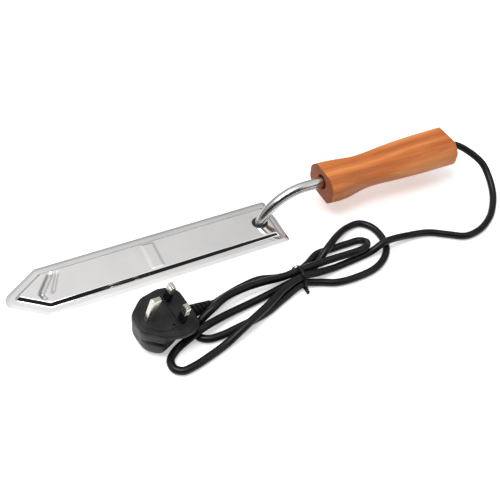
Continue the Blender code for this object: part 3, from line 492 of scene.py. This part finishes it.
def top_height(x, y):
    """Height of the cover's top over the plane: band up, creases down."""
    band = soft_step((BAND_HALF - np.abs(x - BAND_MIDDLE)) / BAND_SLOPE)
    band = band * soft_step((15.2 - np.abs(y)) / 1.6) * BAND_RISE
    fold = crease_depth(x, y, (-190.7, 14.3), (-203.2, -4.5), 3.4, 2.0)
    fold += crease_depth(x, y, (-203.2, -4.5), (-201.0, -11.5), 2.8, 1.4)
    fold += crease_depth(x, y, (-185.0, 13.6), (-194.0, -6.7), 2.4, 0.8)
    return COVER_TOP + band - fold


# %% Press the cover
lift = soft_step(np.linspace(0, 1, 17))
wall_share = np.linspace(0, 1, 17)
wall = []
for share, rise in zip(wall_share, lift):
    inset = COVER_FOOT + COVER_WALL * share
    rear_inset = COVER_REAR_FOOT + COVER_WALL * share
    wall.append(blade_ring(inset, COVER_BOTTOM + (COVER_TOP - COVER_BOTTOM) * rise, rear_inset))
wall = np.array(wall)
rim_count = wall.shape[1]

far_side = half_outline(COVER_FOOT + COVER_WALL, COVER_REAR_FOOT + COVER_WALL)
across = np.linspace(-1, 1, ACROSS)
top_x = np.repeat(far_side[:, :1], ACROSS, 1)
top_y = far_side[:, 1:] * across
top_z = top_height(top_x, top_y)
top_z[:, [0, -1]] = COVER_TOP
top_z[0] = COVER_TOP
top = np.stack([top_x, top_y, top_z], -1)

rows = len(far_side)
i, j = np.meshgrid(np.arange(rows - 1), np.arange(ACROSS - 1), indexing="ij")
quads = np.stack([i * ACROSS + j, i * ACROSS + j + 1, (i + 1) * ACROSS + j + 1,
                  (i + 1) * ACROSS + j], -1).reshape(-1, 4)
middles = top.reshape(-1, 3)[quads].mean(1)
quads = quads[np.hypot(middles[:, 0], middles[:, 1]) > COVER_HOLE_RADIUS]
cover_points = np.vstack([wall.reshape(-1, 3), top.reshape(-1, 3)])
cover_faces = ring_faces(len(wall), rim_count, False)
cover_faces += (quads + wall.shape[0] * rim_count).tolist()
cover = finish_mesh("cover_polished", cover_points, cover_faces, crease=40)
sheet = cover.modifiers.new("sheet", "SOLIDIFY")
sheet.thickness = COVER_SHEET * MM
sheet.offset = -1
dress(cover, "knife", ["blade_cover"], steel)

# %% [markdown]
# ## The shank
#
# The shank is a tube with a softer, brushed shine, bent where it rises out of the blade.
# A bent tube is a circle carried along the bend, and it needs an inner wall too, because
# its ends are open.

# %% Bend the tube
TUBE_RADIUS = 5.0
TUBE_FOOT_Z = 3.7
TUBE_SLOPE = math.radians(68.0)
TUBE_END_X = 133.7
bend = (TUBE_Z - TUBE_FOOT_Z) / (1 - math.cos(TUBE_SLOPE))
turn = TUBE_SLOPE * (1 - np.linspace(0, 1, 60))
bend_x = bend * math.sin(TUBE_SLOPE) - bend * np.sin(turn)
bend_z = TUBE_Z - bend + bend * np.cos(turn)
shank_x = np.concatenate([bend_x, np.linspace(bend_x[-1], TUBE_END_X, 20)[1:]])
shank_z = np.concatenate([bend_z, np.full(19, TUBE_Z)])
slope = np.concatenate([turn, np.zeros(19)])


def bent_tube(radius):
    """Circles square to the centreline: up-and-down part tilted by the local slope."""
    round_trip = np.linspace(0, 2 * math.pi, 48, endpoint=False)
    aside, over = radius * np.cos(round_trip), radius * np.sin(round_trip)
    x = shank_x[:, None] - over * np.sin(slope)[:, None]
    z = shank_z[:, None] + over * np.cos(slope)[:, None]
    return np.stack([x, np.broadcast_to(aside, x.shape), z], -1)


tube = skin("shank_polished", np.vstack([bent_tube(TUBE_RADIUS), bent_tube(4.0)[::-1]]),
            loop=True)
shank_steel, _ = mottled("brushed_shank_steel", (0.60, 0.59, 0.58), (0.72, 0.71, 0.70), 0.24,
                         1.0, grain=700.0, depth=0.000004, stretch=(0.2, 1.0, 1.0))
dress(tube, "knife", ["shank_tube"], shank_steel)

# %% [markdown]
# A bead closes the gap between the tube's foot and the cover.  Its near-black colour is
# painted shade, the dark of the gap round the tube's foot.  It was squeezed in by hand,
# so its edge wanders a little.

# %% The bead at the tube's foot, black as painted shade
# The bead's near-black colour is painted shade: the dark gap round the tube's foot.
painted_gap_shade_finish, _ = mottled("black_sealant", (0.008, 0.008, 0.008), (0.03, 0.03, 0.03), 0.5,
                         grain=500.0, depth=0.0002)
SEAL_RADIUS, SEAL_Z, SEAL_HALF_WIDTH, SEAL_HALF_HEIGHT = 6.5, 4.2, 1.15, 0.55
around = np.linspace(0, 2 * math.pi, 72, endpoint=False)
bulge = np.linspace(0, 2 * math.pi, 14, endpoint=False)[:, None]
lumps = 0.25 * np.sin(3 * around + 1.0) + 0.15 * np.sin(7 * around)
seal_reach = SEAL_RADIUS + (SEAL_HALF_WIDTH + 0.2 * lumps) * np.cos(bulge)
seal_lean = 0.25 * np.cos(around)
seal = skin("seal_bead", np.stack([
    seal_reach * np.cos(around) + 0.1, seal_reach * np.sin(around) * 0.96,
    SEAL_Z + seal_lean * 0.5 + (SEAL_HALF_HEIGHT + 0.15 * lumps) * np.sin(bulge)], -1),
    loop=True)
dress(seal, "knife", ["shank_seal"], painted_gap_shade_finish)

# %% [markdown]
# ## The wooden handle
#
# The grip is turned and sawn from a reddish hardwood, then varnished: a flat top with
# crisp edges, a waist for the fingers, and a round recess in front where the tube goes
# in.  It is a loft of rounded eight-sided sections through nine measured places.

# %% Sections of the grip
HANDLE_FRONT_X = 61.7
HANDLE_LENGTH = HANDLE_REAR_X - HANDLE_FRONT_X
STATIONS = [
    (0.00, 12.3, 20.8, 13.5, 46.0, 17.3), (0.08, 11.8, 20.4, 13.2, 46.2, 16.0),
    (0.16, 10.7, 19.2, 12.3, 45.9, 16.0), (0.24, 9.6, 17.9, 11.2, 45.3, 18.0),
    (0.32, 9.6, 17.6, 11.0, 45.1, 19.7), (0.42, 10.5, 18.4, 11.6, 45.5, 20.4),
    (0.55, 11.8, 19.8, 12.8, 46.3, 20.3), (0.72, 12.6, 20.8, 13.8, 47.0, 20.0),
    (1.00, 12.7, 21.0, 14.0, 47.7, 19.4),
]
sizes = np.array(STATIONS) * [HANDLE_LENGTH, 1, 1, 1, 1, 1]
sizes = smooth_through(sizes, 8)


def grip_section(x, top_half, side_half, bottom_half, top_z, bottom_z, inset=0.0):
    """One section as rows of (x, y, z): flat top, full sides, softer bottom."""
    corners = [(top_half, top_z - inset), (-top_half, top_z - inset),
               (-side_half + inset, top_z - 8), (-side_half + inset, bottom_z + 8),
               (-bottom_half, bottom_z + inset), (bottom_half, bottom_z + inset),
               (side_half - inset, bottom_z + 8), (side_half - inset, top_z - 8)]
    flat = rounded(corners, [1.6, 1.6, 7, 8, 4, 4, 8, 7], 7, 5)
    return np.column_stack([np.full(len(flat), x), flat])


def round_hole(ring, radius, x):
    """Points of a round hole about the tube's axis, one for each point of the ring."""
    y, z = ring[:, 1], ring[:, 2] - TUBE_Z
    shrink = radius / np.hypot(y, z)
    return np.column_stack([np.full(len(ring), x), y * shrink, TUBE_Z + z * shrink])


# %% Loft the grip
CHAMFER = 0.7
RECESS_DEPTH, RECESS_RADIUS, RECESS_MOUTH_RADIUS = 16, 7.0, 7.35
WIRING_START_X, WIRING_RADIUS, WIRING_MOUTH_RADIUS = 123.7, 8.6, 8.9
TUBE_BORE_RADIUS = 5.3
MOUTH_DEPTH = 0.4
front, rear = sizes[0], sizes[-1]
sections = [grip_section(HANDLE_FRONT_X, *front[1:], inset=CHAMFER)]
sections.append(grip_section(HANDLE_FRONT_X + CHAMFER * 0.35, *front[1:], inset=CHAMFER * 0.3))
for row in sizes:
    x = HANDLE_FRONT_X + np.clip(row[0], CHAMFER, HANDLE_LENGTH - CHAMFER)
    sections.append(grip_section(x, *row[1:]))
sections.append(grip_section(HANDLE_REAR_X - CHAMFER * 0.35, *rear[1:], inset=CHAMFER * 0.3))
sections.append(grip_section(HANDLE_REAR_X, *rear[1:], inset=CHAMFER))
last = sections[-1]
recess_x = HANDLE_FRONT_X + RECESS_DEPTH
for radius, x in ((WIRING_MOUTH_RADIUS, HANDLE_REAR_X),
                  (WIRING_RADIUS, HANDLE_REAR_X - MOUTH_DEPTH),
                  (WIRING_RADIUS, WIRING_START_X), (TUBE_BORE_RADIUS, WIRING_START_X),
                  (TUBE_BORE_RADIUS, recess_x)):
    sections.append(round_hole(last, radius, x))
first = sections[0]
for radius, x in ((RECESS_RADIUS, recess_x), (RECESS_RADIUS, HANDLE_FRONT_X + MOUTH_DEPTH),
                  (RECESS_MOUTH_RADIUS, HANDLE_FRONT_X)):
    sections.append(round_hole(first, radius, x))
grip = skin("grip_varnished", np.array(sections), loop=True, crease=38)

# %% [markdown]
# Wood is drawn with its growth rings: bands across the blank, wavy and stretched along
# the grain, with short dark flecks between them.  Where the saw cuts across, on the front
# and the back, the end grain drinks the varnish and looks redder and duller.  The same
# darker, redder finish also lines the recess and the bores round the tube, where it is
# painted shade.

# %% Varnished wood, along and across the grain
wood, wood_shader = new_finish("varnished_wood", (0.6, 0.24, 0.08), 0.3)
tree = wood.node_tree
place = tree.nodes.new("ShaderNodeTexCoord")
turned = add_node(tree, "ShaderNodeMapping")
turned.inputs["Location"].default_value = (-0.13, 0.02, -0.03)
turned.inputs["Rotation"].default_value = (0.3, 0.05, 0.06)
turned.inputs["Scale"].default_value = (0.16, 1.0, 1.0)
tree.links.new(place.outputs["Object"], turned.inputs["Vector"])
rings = add_node(tree, "ShaderNodeTexWave", wave_type="BANDS", bands_direction="Y",
                 scale=20.0, distortion=7.0, detail=3.0)
rings.inputs["Detail Scale"].default_value = 1.1
tree.links.new(turned.outputs["Vector"], rings.inputs["Vector"])
ring_colour = ramp(tree, rings.outputs["Fac"], [
    (0.0, (0.66, 0.215, 0.048)), (0.4, (0.75, 0.260, 0.062)), (0.8, (0.81, 0.30, 0.080)),
    (1.0, (0.85, 0.345, 0.105))])
streaks = mask(tree, GRAIN, 130.0, (0.10, 1.0, 1.0))
flecks = mask(tree, GRAIN, 620.0, (0.07, 1.0, 1.0))
clouds = mask(tree, SMUDGE, 26.0, (0.5, 1.0, 1.0))
wood_colour = ring_colour
for patches, amount, shade in ((streaks, 0.55, (0.62, 0.45, 0.36)),
                               (flecks, 0.40, (0.66, 0.50, 0.40)),
                               (clouds, 0.75, (0.84, 0.68, 0.58))):
    darker = add_node(tree, "ShaderNodeMix", data_type="RGBA", blend_type="MULTIPLY")
    darker.inputs["B"].default_value = (*shade, 1)
    tree.links.new(wood_colour, darker.inputs["A"])
    tree.links.new(spread(tree, patches, amount, 0.0), darker.inputs["Factor"])
    wood_colour = darker.outputs["Result"]
tree.links.new(wood_colour, wood_shader.inputs["Base Color"])
tree.links.new(spread(tree, flecks, 0.42, 0.30), wood_shader.inputs["Roughness"])
wood_shader.inputs["Coat Weight"].default_value = 0.15
wood_shader.inputs["Specular IOR Level"].default_value = 0.30
wood_shader.inputs["Coat Roughness"].default_value = 0.20
bump(tree, wood_shader, flecks, 0.00008)

# Darker, redder finish: end grain on the front and back, painted shade in the recess and bores.
endgrain_and_bore_shade, endgrain_and_bore_shade_shader = mottled("endgrain_and_painted_bore_shade", (0.24, 0.060, 0.020), (0.37, 0.105, 0.036), 0.55,
                               grain=1500.0, depth=0.00015, stretch=(0.3, 1.0, 1.0))
endgrain_and_bore_shade_shader.inputs["Specular IOR Level"].default_value = 0.25
dress(grip, "knife", ["handle"], wood, endgrain_and_bore_shade)
facing = np.empty(len(grip.data.polygons) * 3)
grip.data.polygons.foreach_get("normal", facing)
facing = facing.reshape(-1, 3)
centres = np.empty(len(grip.data.polygons) * 3)
grip.data.polygons.foreach_get("center", centres)
centres = centres.reshape(-1, 3) / MM
# Faces near the tube's axis line the recess and bores; they get the darker finish as painted
# shade.
bore_walls_painted_shade = np.hypot(centres[:, 1], centres[:, 2] - TUBE_Z) < 9
endgrain_or_bore_shade_faces = (np.abs(facing[:, 0]) > 0.8) | bore_walls_painted_shade
grip.data.polygons.foreach_set("material_index", endgrain_or_bore_shade_faces.astype(np.int32))
print("end-grain faces:", int(endgrain_or_bore_shade_faces.sum()))

# %% [markdown]
# ## The plug
#
# The plug is moulded in black plastic: a flange with the pin face on top, and behind it a
# grip that narrows towards the lead so that fingers can get hold of it.  Its rings start
# on the floor of the fuse pocket, climb out of it, cross the pin face with a shallow step,
# turn over the flange's edge and run down the grip.

# %% Outlines of the plug
PLUG_FRONT = 22.0
PLUG_REAR_X = 26.0
PLUG_HALF_WIDTH = 24.0
GRIP_START_X = -9.0
GRIP_NARROWING = 0.42
GRIP_REAR_STEP = 0.6
GRIP_TOE = 8.0
FLANGE_DEPTH = 5.5
GROOVE_X, GROOVE_REACH, GROOVE_CLEAR_Y = -6.0, 15.0, 8.0     # middle, half length, inner limit


def plug_outline(inset):
    """The flange's outline, moved inwards: round at the earth pin, widest at the others."""
    front, rear, wide = PLUG_FRONT - inset, PLUG_REAR_X - inset, PLUG_HALF_WIDTH - inset
    corners = [(-front, -9), (-8, -wide + 3.5), (9, -wide), (rear, -wide + 2.5),
               (rear, wide - 2.5), (9, wide), (-8, wide - 3.5), (-front, 9)]
    return rounded(corners, [9, 14, 14, 11, 11, 14, 14, 9], 11, 5)


def plug_depth(flat):
    """How deep under the pin face the plane it lies on is, along the pins' direction."""
    lean = PLUG_TURN[2]
    return (PLUG_MIDDLE[2] + lean[0] * flat[:, 0] + lean[1] * flat[:, 1]) / lean[2]


def grip_ring(inset, share, narrow, pinch=0.0):
    """A ring of the grip: share of the way down from the flange, narrowed by narrow.

    Behind GRIP_START_X each point's y shrinks with its distance, down to GRIP_NARROWING
    at the lead; ahead of the middle it draws in by GRIP_TOE; pinch cuts a lens-shaped
    finger groove into both sides.
    """
    flat = plug_outline(inset)
    behind = np.clip((flat[:, 0] - GRIP_START_X) / (PLUG_REAR_X - GRIP_START_X), 0, 1)
    ahead = np.clip(-flat[:, 0] / PLUG_FRONT, 0, 1)
    flat[:, 0] -= GRIP_REAR_STEP * behind * narrow - GRIP_TOE * share * ahead
    flat[:, 1] *= 1 - (1 - GRIP_NARROWING) * soft_step(behind) ** 0.8 * narrow
    lens = np.clip(1 - ((flat[:, 0] - GROOVE_X) / GROOVE_REACH) ** 2, 0, 1)
    lens *= np.abs(flat[:, 1]) > GROOVE_CLEAR_Y
    flat[:, 1] -= np.sign(flat[:, 1]) * pinch * lens
    depth = FLANGE_DEPTH + (plug_depth(flat) - FLANGE_DEPTH) * share
    return np.column_stack([flat, -depth])


def face_ring(inset, z):
    flat = plug_outline(inset)
    return np.column_stack([flat, np.full(len(flat), z)])


def box_ring(like, middle_x, half_x, half_y, z, middle_y=0.0):
    """A rectangle with one point for each point of another ring, on the line to it."""
    x, y = like[:, 0] - middle_x, like[:, 1] - middle_y
    shrink = 1 / np.maximum(np.abs(x) / half_x, np.abs(y) / half_y)
    return np.column_stack([middle_x + x * shrink, middle_y + y * shrink,
                            np.full(len(like), z)])


# %% Mould the plug's body
CARRIER_X = 3.3
base = face_ring(0, 0)
POCKET = (CARRIER_X, 4.8, 15.3)
POCKET_FLOOR_Z = -10.4
rings_of_plug = [box_ring(base, *POCKET, POCKET_FLOOR_Z), box_ring(base, *POCKET, -0.5),
                 box_ring(base, CARRIER_X, 5.0, 15.5, -0.25), face_ring(6.2, -0.25),
                 face_ring(5.6, -0.9), face_ring(1.6, -0.95), face_ring(0.9, -1.1),
                 face_ring(0.35, -1.5), face_ring(0.05, -2.2), face_ring(0.0, -3.2),
                 face_ring(0.0, -5.0)]
GROOVE_SHARE, GROOVE_DEPTH, GROOVE_SPREAD = 0.27, 3.2, 0.075
LIP_ABOVE, LIP_RISE, LIP_SPREAD = 0.14, 0.6, 0.05
for share in np.concatenate([np.linspace(0.02, 0.7, 26), np.linspace(0.73, 0.97, 9)]):
    narrow = soft_step(share * 5)
    inset = 0.1 + 0.9 * share + 6.0 * np.clip((share - 0.6) / 0.4, 0, 1) ** 2.2
    pinch = GROOVE_DEPTH * np.exp(-((share - GROOVE_SHARE) / GROOVE_SPREAD) ** 2)
    pinch -= LIP_RISE * np.exp(-((share - GROOVE_SHARE + LIP_ABOVE) / LIP_SPREAD) ** 2)
    rings_of_plug.append(grip_ring(inset, share, narrow, pinch))
rings_of_plug.append(grip_ring(7.9, 0.995, 1.0))
rings_of_plug.append(grip_ring(9.5, 1.0, 1.0))
plug_plastic, plug_shader = mottled("plug_plastic", (0.010, 0.010, 0.011),
                                    (0.020, 0.020, 0.022), 0.42, grain=1600.0,
                                    depth=0.00004)
plug_shader.inputs["Specular IOR Level"].default_value = 0.30
plug = skin("plug_body_moulded", in_place(np.array(rings_of_plug)), crease=40)
dress(plug, "knife", ["plug_body"], plug_plastic)

# %% [markdown]
# ### Pins
#
# The pins are nickel-plated brass bars with chamfered ends.  The live and neutral pins
# have a sleeve of black plastic round their lower half, flush with the metal above it.

# %% Bars with rounded corners
def bar_ring(middle, size, z, corner):
    wide, long = size[0] / 2, size[1] / 2
    corners = [(-wide, -long), (wide, -long), (wide, long), (-wide, long)]
    flat = rounded(corners, [corner] * 4, 4, 2) + middle
    return np.column_stack([flat, np.full(len(flat), z)])


def bar(name, middle, levels, loop=False):
    """A bar along the pins' direction; levels are (width, length, z, corner radius)."""
    rings = np.array([bar_ring(middle, (w, d), z, corner) for w, d, z, corner in levels])
    return skin(name, in_place(rings), loop=loop, crease=30)


pin_metal, _ = mottled("pin_nickel", (0.72, 0.69, 0.62), (0.82, 0.80, 0.74), 0.20,
                                1.0, grain=500.0, depth=0.000004, stretch=(1, 1, 0.1))
sleeve_black, sleeve_shader = mottled("sleeve_black", (0.003, 0.003, 0.003),
                                      (0.007, 0.007, 0.007), 0.45, grain=1500.0,
                                      depth=0.00003)
sleeve_shader.inputs["Specular IOR Level"].default_value = 0.18
PIN_SPACING = 22.2
LINE_PINS = {"live": (PIN_SPACING / 2, PIN_SPACING / 2),
             "neutral": (PIN_SPACING / 2, -PIN_SPACING / 2)}
earth = bar("earth_pin_bar", (-PIN_SPACING / 2, 0), [
    (7.98, 3.98, -11, 0.3), (7.98, 3.98, 21.3, 0.3), (7.3, 3.3, 22.2, 0.3),
    (6.2, 2.3, 22.65, 0.3)])
dress(earth, "knife", ["earth_pin"], pin_metal)
plug_pins = [earth]
for name, middle in LINE_PINS.items():
    pin = bar(name + "_pin_bar", middle, [
        (3.0, 5.3, -11, 0.3), (3.0, 5.3, 9.62, 0.3), (3.98, 6.33, 9.62, 0.3),
        (3.98, 6.33, 16.3, 0.3), (3.3, 5.6, 17.2, 0.3), (2.3, 4.5, 17.65, 0.3)])
    dress(pin, "knife", [name + "_pin"], pin_metal)
    sleeve = bar(name + "_sleeve", middle, [
        (4.05, 6.4, -0.9, 0.35), (4.05, 6.4, 9.35, 0.35), (3.8, 6.15, 9.5, 0.35),
        (3.1, 5.45, 9.5, 0.25), (3.1, 5.45, -0.9, 0.25)], loop=True)
    dress(sleeve, "knife", [name + "_pin_sleeve"], sleeve_black)
    plug_pins += [pin, sleeve]

# %% [markdown]
# ### The fuse carrier
#
# A small tray in the pin face holds the fuse.  It is prised out with a screwdriver, so it
# has a slot at one end, and it is the one piece of this object that moves.

# %% The carrier and its slot
SLOT = (2.4, 0.9, -12.4)
slot_x, slot_half_y, slot_y = CARRIER_X, SLOT[1], SLOT[2]
carrier_top = bar_ring((CARRIER_X, 0), (9.0, 30.0), -0.35, 0.4)


def carrier_ring(half_x, half_y, z):
    return bar_ring((CARRIER_X, 0), (2 * half_x, 2 * half_y), z, 0.4)


carrier_rings = [
    carrier_ring(3.5, 14.0, -2.0), carrier_ring(3.5, 14.0, -9.0), carrier_ring(4.5, 15.0, -9.0),
    carrier_ring(4.5, 15.0, -0.55), carrier_ring(4.2, 14.7, -0.3),
    box_ring(carrier_top, slot_x, SLOT[0], slot_half_y, -0.3, slot_y),
    box_ring(carrier_top, slot_x, SLOT[0], slot_half_y, -1.5, slot_y)]
carrier = skin("fuse_carrier_moulded", in_place(np.array(carrier_rings)), crease=30)
dress(carrier, "fuse_carrier", ["fuse_carrier"], plug_plastic)

# %% [markdown]
# ### The ribbed boot
#
# Where the lead leaves the plug, a soft boot keeps it from kinking.  Slots are moulded
# into it from four sides, in turn, so that it bends evenly; between them run its ribs.

# %% Mould the boot
boot_finish, boot_shader = mottled("boot_pvc", (0.0035, 0.0035, 0.004),
                                   (0.009, 0.009, 0.010), 0.38, grain=1000.0,
                                   depth=0.00004)
boot_shader.inputs["Specular IOR Level"].default_value = 0.26
along = np.linspace(0, 1, 121)[:, None]
trip = np.linspace(0, 2 * math.pi, 56, endpoint=False)[None, :]
BOOT_RADIUS, BOOT_TIP_RADIUS, BOOT_SLOT_DEPTH = 6.3, 4.1, 1.25
RIBS = 6
phase = along * RIBS * 2
even = np.floor(phase).astype(int) % 2
slot_place = np.abs(phase % 1 - 0.5)
quarter = np.abs(np.cos(trip)) ** 1.2 * even + np.abs(np.sin(trip)) ** 1.2 * (1 - even)
slots = soft_step((0.34 - slot_place) / 0.10) * soft_step((quarter - 0.45) / 0.2)
slots = slots * soft_step((along - 0.10) / 0.02) * soft_step((0.97 - along) / 0.02)
boot_radius = BOOT_RADIUS + (BOOT_TIP_RADIUS - BOOT_RADIUS) * along - BOOT_SLOT_DEPTH * slots
boot_radius = boot_radius - 0.5 * np.clip((along - 0.97) / 0.03, 0, 1) ** 2
boot = skin("boot_ribbed", in_place(np.stack([
    np.broadcast_to(BOOT_START_X - 1.0 + (BOOT_LENGTH + 1.0) * along, boot_radius.shape),
    boot_radius * np.cos(trip), BOOT_AXIS_Z + boot_radius * np.sin(trip)], -1)), crease=45)
dress(boot, "knife", ["strain_relief"], boot_finish)

# %% [markdown]
# ## The wire tie
#
# The folded lead is held by a strip of black plastic with a wire down its middle.  It is
# a flat profile with a raised middle, carried round the strands, with both ends left
# running out together.

# %% Bend the tie
TIE_X = 2.0
TIE_OUTLINE = [
    (-90, 2.8), (-87.5, 3), (-85.6, 4.7), (-84.3, 8), (-81.7, 12.7), (-78.9, 14.8),
    (-69.8, 14.9), (-66.6, 12.7), (-63.5, 8.2), (-61.7, 4.7), (-63.3, 1), (-65.9, 0.7),
    (-81.7, 0.6), (-85, 1.4), (-90, 1.2),
]
bent = smooth_through(TIE_OUTLINE, 10)
heading = np.gradient(bent, axis=0)
heading /= np.linalg.norm(heading, axis=1)[:, None]
outward = np.column_stack([-heading[:, 1], heading[:, 0]])
strip_across = np.array([-1.3, -0.85, -0.3, 0.3, 0.85, 1.3, 1.3, 0.85, 0.3, -0.3, -0.85,
                         -1.3])
strip_thick = np.array([0.12, 0.15, 0.36, 0.36, 0.15, 0.12, -0.12, -0.15, -0.36, -0.36,
                        -0.15, -0.12])
tie_points = np.stack([
    np.broadcast_to(TIE_X + strip_across, (len(bent), len(strip_across))),
    bent[:, :1] + outward[:, :1] * strip_thick, bent[:, 1:] + outward[:, 1:] * strip_thick], -1)
tie_finish, tie_shader = mottled("tie_plastic", (0.004, 0.004, 0.004),
                                 (0.010, 0.010, 0.010), 0.35, grain=1400.0, depth=0.00003)
tie_shader.inputs["Specular IOR Level"].default_value = 0.26
tie = skin("wire_tie", tie_points, crease=50)
dress(tie, "knife", ["twist_tie"], tie_finish)

# %% [markdown]
# ## Finishes for what keeps its solid shape
#
# The heater, the wiring, the fuse and the screw are hidden or nearly so, and their solid
# shapes are already right.  They only need finishes, each with its own colour and grain.

# %% Finishes of the inner parts
INNER = {
    "mica": ((0.36, 0.28, 0.16), (0.62, 0.52, 0.34), 0.35, 0.0, 500.0, 0.00006,
             ["lower_mica_sheet", "upper_mica_sheet"]),
    "resistance_ribbon": ((0.22, 0.20, 0.19), (0.46, 0.43, 0.40), 0.38, 1.0, 700.0, 0.00001,
                          ["heating_ribbon"]),
    "brown_wire": ((0.13, 0.045, 0.014), (0.22, 0.08, 0.03), 0.45, 0.0, 900.0, 0.00002,
                   ["live_heater_lead", "live_core"]),
    "blue_wire": ((0.012, 0.06, 0.30), (0.025, 0.11, 0.45), 0.45, 0.0, 900.0, 0.00002,
                  ["neutral_heater_lead", "neutral_core"]),
    "earth_wire": ((0.08, 0.30, 0.03), (0.75, 0.62, 0.03), 0.45, 0.0, 900.0, 0.00002,
                   ["earth_core"]),
    "zinc": ((0.48, 0.48, 0.47), (0.72, 0.72, 0.70), 0.30, 1.0, 900.0, 0.00001,
             ["live_splice", "neutral_splice", "earth_clip", "cord_clamp", "handle_screw"]),
    "inner_pvc": ((0.010, 0.010, 0.011), (0.022, 0.022, 0.024), 0.42, 0.0, 900.0, 0.00003,
                  ["cord_tail", "cord_bush"]),
    "fuse_metal": ((0.62, 0.58, 0.50), (0.84, 0.80, 0.72), 0.22, 1.0, 900.0, 0.00001,
                   ["fuse_cap_live", "fuse_cap_load", "fuse_contact_live",
                    "fuse_contact_load"]),
    "fuse_ceramic": ((0.74, 0.72, 0.66), (0.88, 0.87, 0.83), 0.28, 0.0, 600.0, 0.00001,
                     ["fuse_barrel"]),
}
for name, (dark, light, gloss, metal, grain, depth, nodes) in INNER.items():
    finish, _ = mottled(name, dark, light, gloss, metal, grain, depth)
    for node_name in nodes:
        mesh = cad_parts[node_name].data
        mesh.materials.clear()
        mesh.materials.append(finish)
print("inner finishes:", len(INNER))

# %% Gather the pieces that ride on the lead into a list
on_the_lead = [boot, plug, tie, carrier, *plug_pins]
on_the_lead += [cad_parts[name] for name in (
    "fuse_barrel", "fuse_cap_live", "fuse_cap_load", "fuse_contact_live", "fuse_contact_load")]

# %% [markdown]
# ## Studio
#
# Polished steel needs something to reflect.  The knife lies on a white sweep under a
# white tent: bright overhead, greyer to one side, dark at the horizon.  The dark of the
# room shows through two openings, the wide one where the camera stands and a smaller one
# to its left.  The sweep shines a little by itself, mostly for the camera, so that it
# looks white and is yet a calm grey in the steel.

# %% Sweep, tent and lamps
FLOOR_HALF, FLOOR_Z = 3000, -0.2
floor = finish_mesh("white_sweep", np.array([
    [-FLOOR_HALF, -FLOOR_HALF, FLOOR_Z], [FLOOR_HALF, -FLOOR_HALF, FLOOR_Z],
    [FLOOR_HALF, FLOOR_HALF, FLOOR_Z], [-FLOOR_HALF, FLOOR_HALF, FLOOR_Z]]), [[0, 1, 2, 3]])
sweep_white, sweep_shader = new_finish("sweep_white", (0.92, 0.92, 0.92), 0.9)
sweep_shader.inputs["Emission Color"].default_value = (1, 1, 1, 1)
tree = sweep_white.node_tree
seen = tree.nodes.new("ShaderNodeLightPath")
tree.links.new(spread(tree, seen.outputs["Is Camera Ray"], 0.10, 0.42),
               sweep_shader.inputs["Emission Strength"])
sweep_shader.inputs["Specular IOR Level"].default_value = 0.1
floor.data.materials.append(sweep_white)

world = bpy.data.worlds.new("tent")
bpy.context.scene.world = world
world.use_nodes = True
tree = world.node_tree
sky = tree.nodes["Background"]
ray = tree.nodes.new("ShaderNodeTexCoord")
apart = tree.nodes.new("ShaderNodeSeparateXYZ")
tree.links.new(ray.outputs["Generated"], apart.inputs["Vector"])
tent = ramp(tree, apart.outputs["Z"], [(0.0, 0.06), (0.08, 0.10), (0.16, 0.42), (0.32, 0.46),
                                       (0.62, 0.76), (0.78, 0.92), (0.95, 1.15), (1.0, 1.2)])
shaded = add_node(tree, "ShaderNodeMix", data_type="RGBA", blend_type="MULTIPLY")
shaded.inputs["Factor"].default_value = 1.0
tree.links.new(tent, shaded.inputs["A"])
across_tent = spread(tree, apart.outputs["X"], 1.0, 0.45)
tree.links.new(across_tent, shaded.inputs["B"])
room_light = shaded.outputs["Result"]
for heading, edge, middle in (((-0.12, -0.80, 0.36), 0.66, 0.86),
                              ((-0.82, -0.42, 0.36), 0.90, 0.96)):
    toward = add_node(tree, "ShaderNodeVectorMath", operation="DOT_PRODUCT")
    toward.inputs[1].default_value = Vector(heading).normalized()
    tree.links.new(ray.outputs["Generated"], toward.inputs[0])
    opening = add_node(tree, "ShaderNodeMapRange", interpolation_type="SMOOTHSTEP",
                       from_min=edge, from_max=middle)
    tree.links.new(toward.outputs["Value"], opening.inputs["Value"])
    room = add_node(tree, "ShaderNodeMix", data_type="RGBA")
    room.inputs["B"].default_value = (0.02, 0.02, 0.022, 1)
    tree.links.new(room_light, room.inputs["A"])
    tree.links.new(opening.outputs["Result"], room.inputs["Factor"])
    room_light = room.outputs["Result"]
tree.links.new(room_light, sky.inputs["Color"])


def soft_lamp(name, spot, aim, size, power):
    """A square area lamp at spot, turned so that its light falls on aim."""
    lamp = bpy.data.objects.new(name, bpy.data.lights.new(name, "AREA"))
    lamp.data.size = size
    lamp.data.energy = power
    lamp.location = spot
    lamp.rotation_euler = (Vector(aim) - Vector(spot)).to_track_quat("-Z", "Y").to_euler()
    bpy.context.scene.collection.objects.link(lamp)
    return lamp


soft_lamp("key", (-0.5, -0.1, 1.4), (0, -0.03, 0), 0.9, 14)
soft_lamp("fill", (0.9, -0.9, 0.9), (0.05, -0.03, 0), 0.8, 2)
bpy.context.scene.view_settings.view_transform = "Standard"
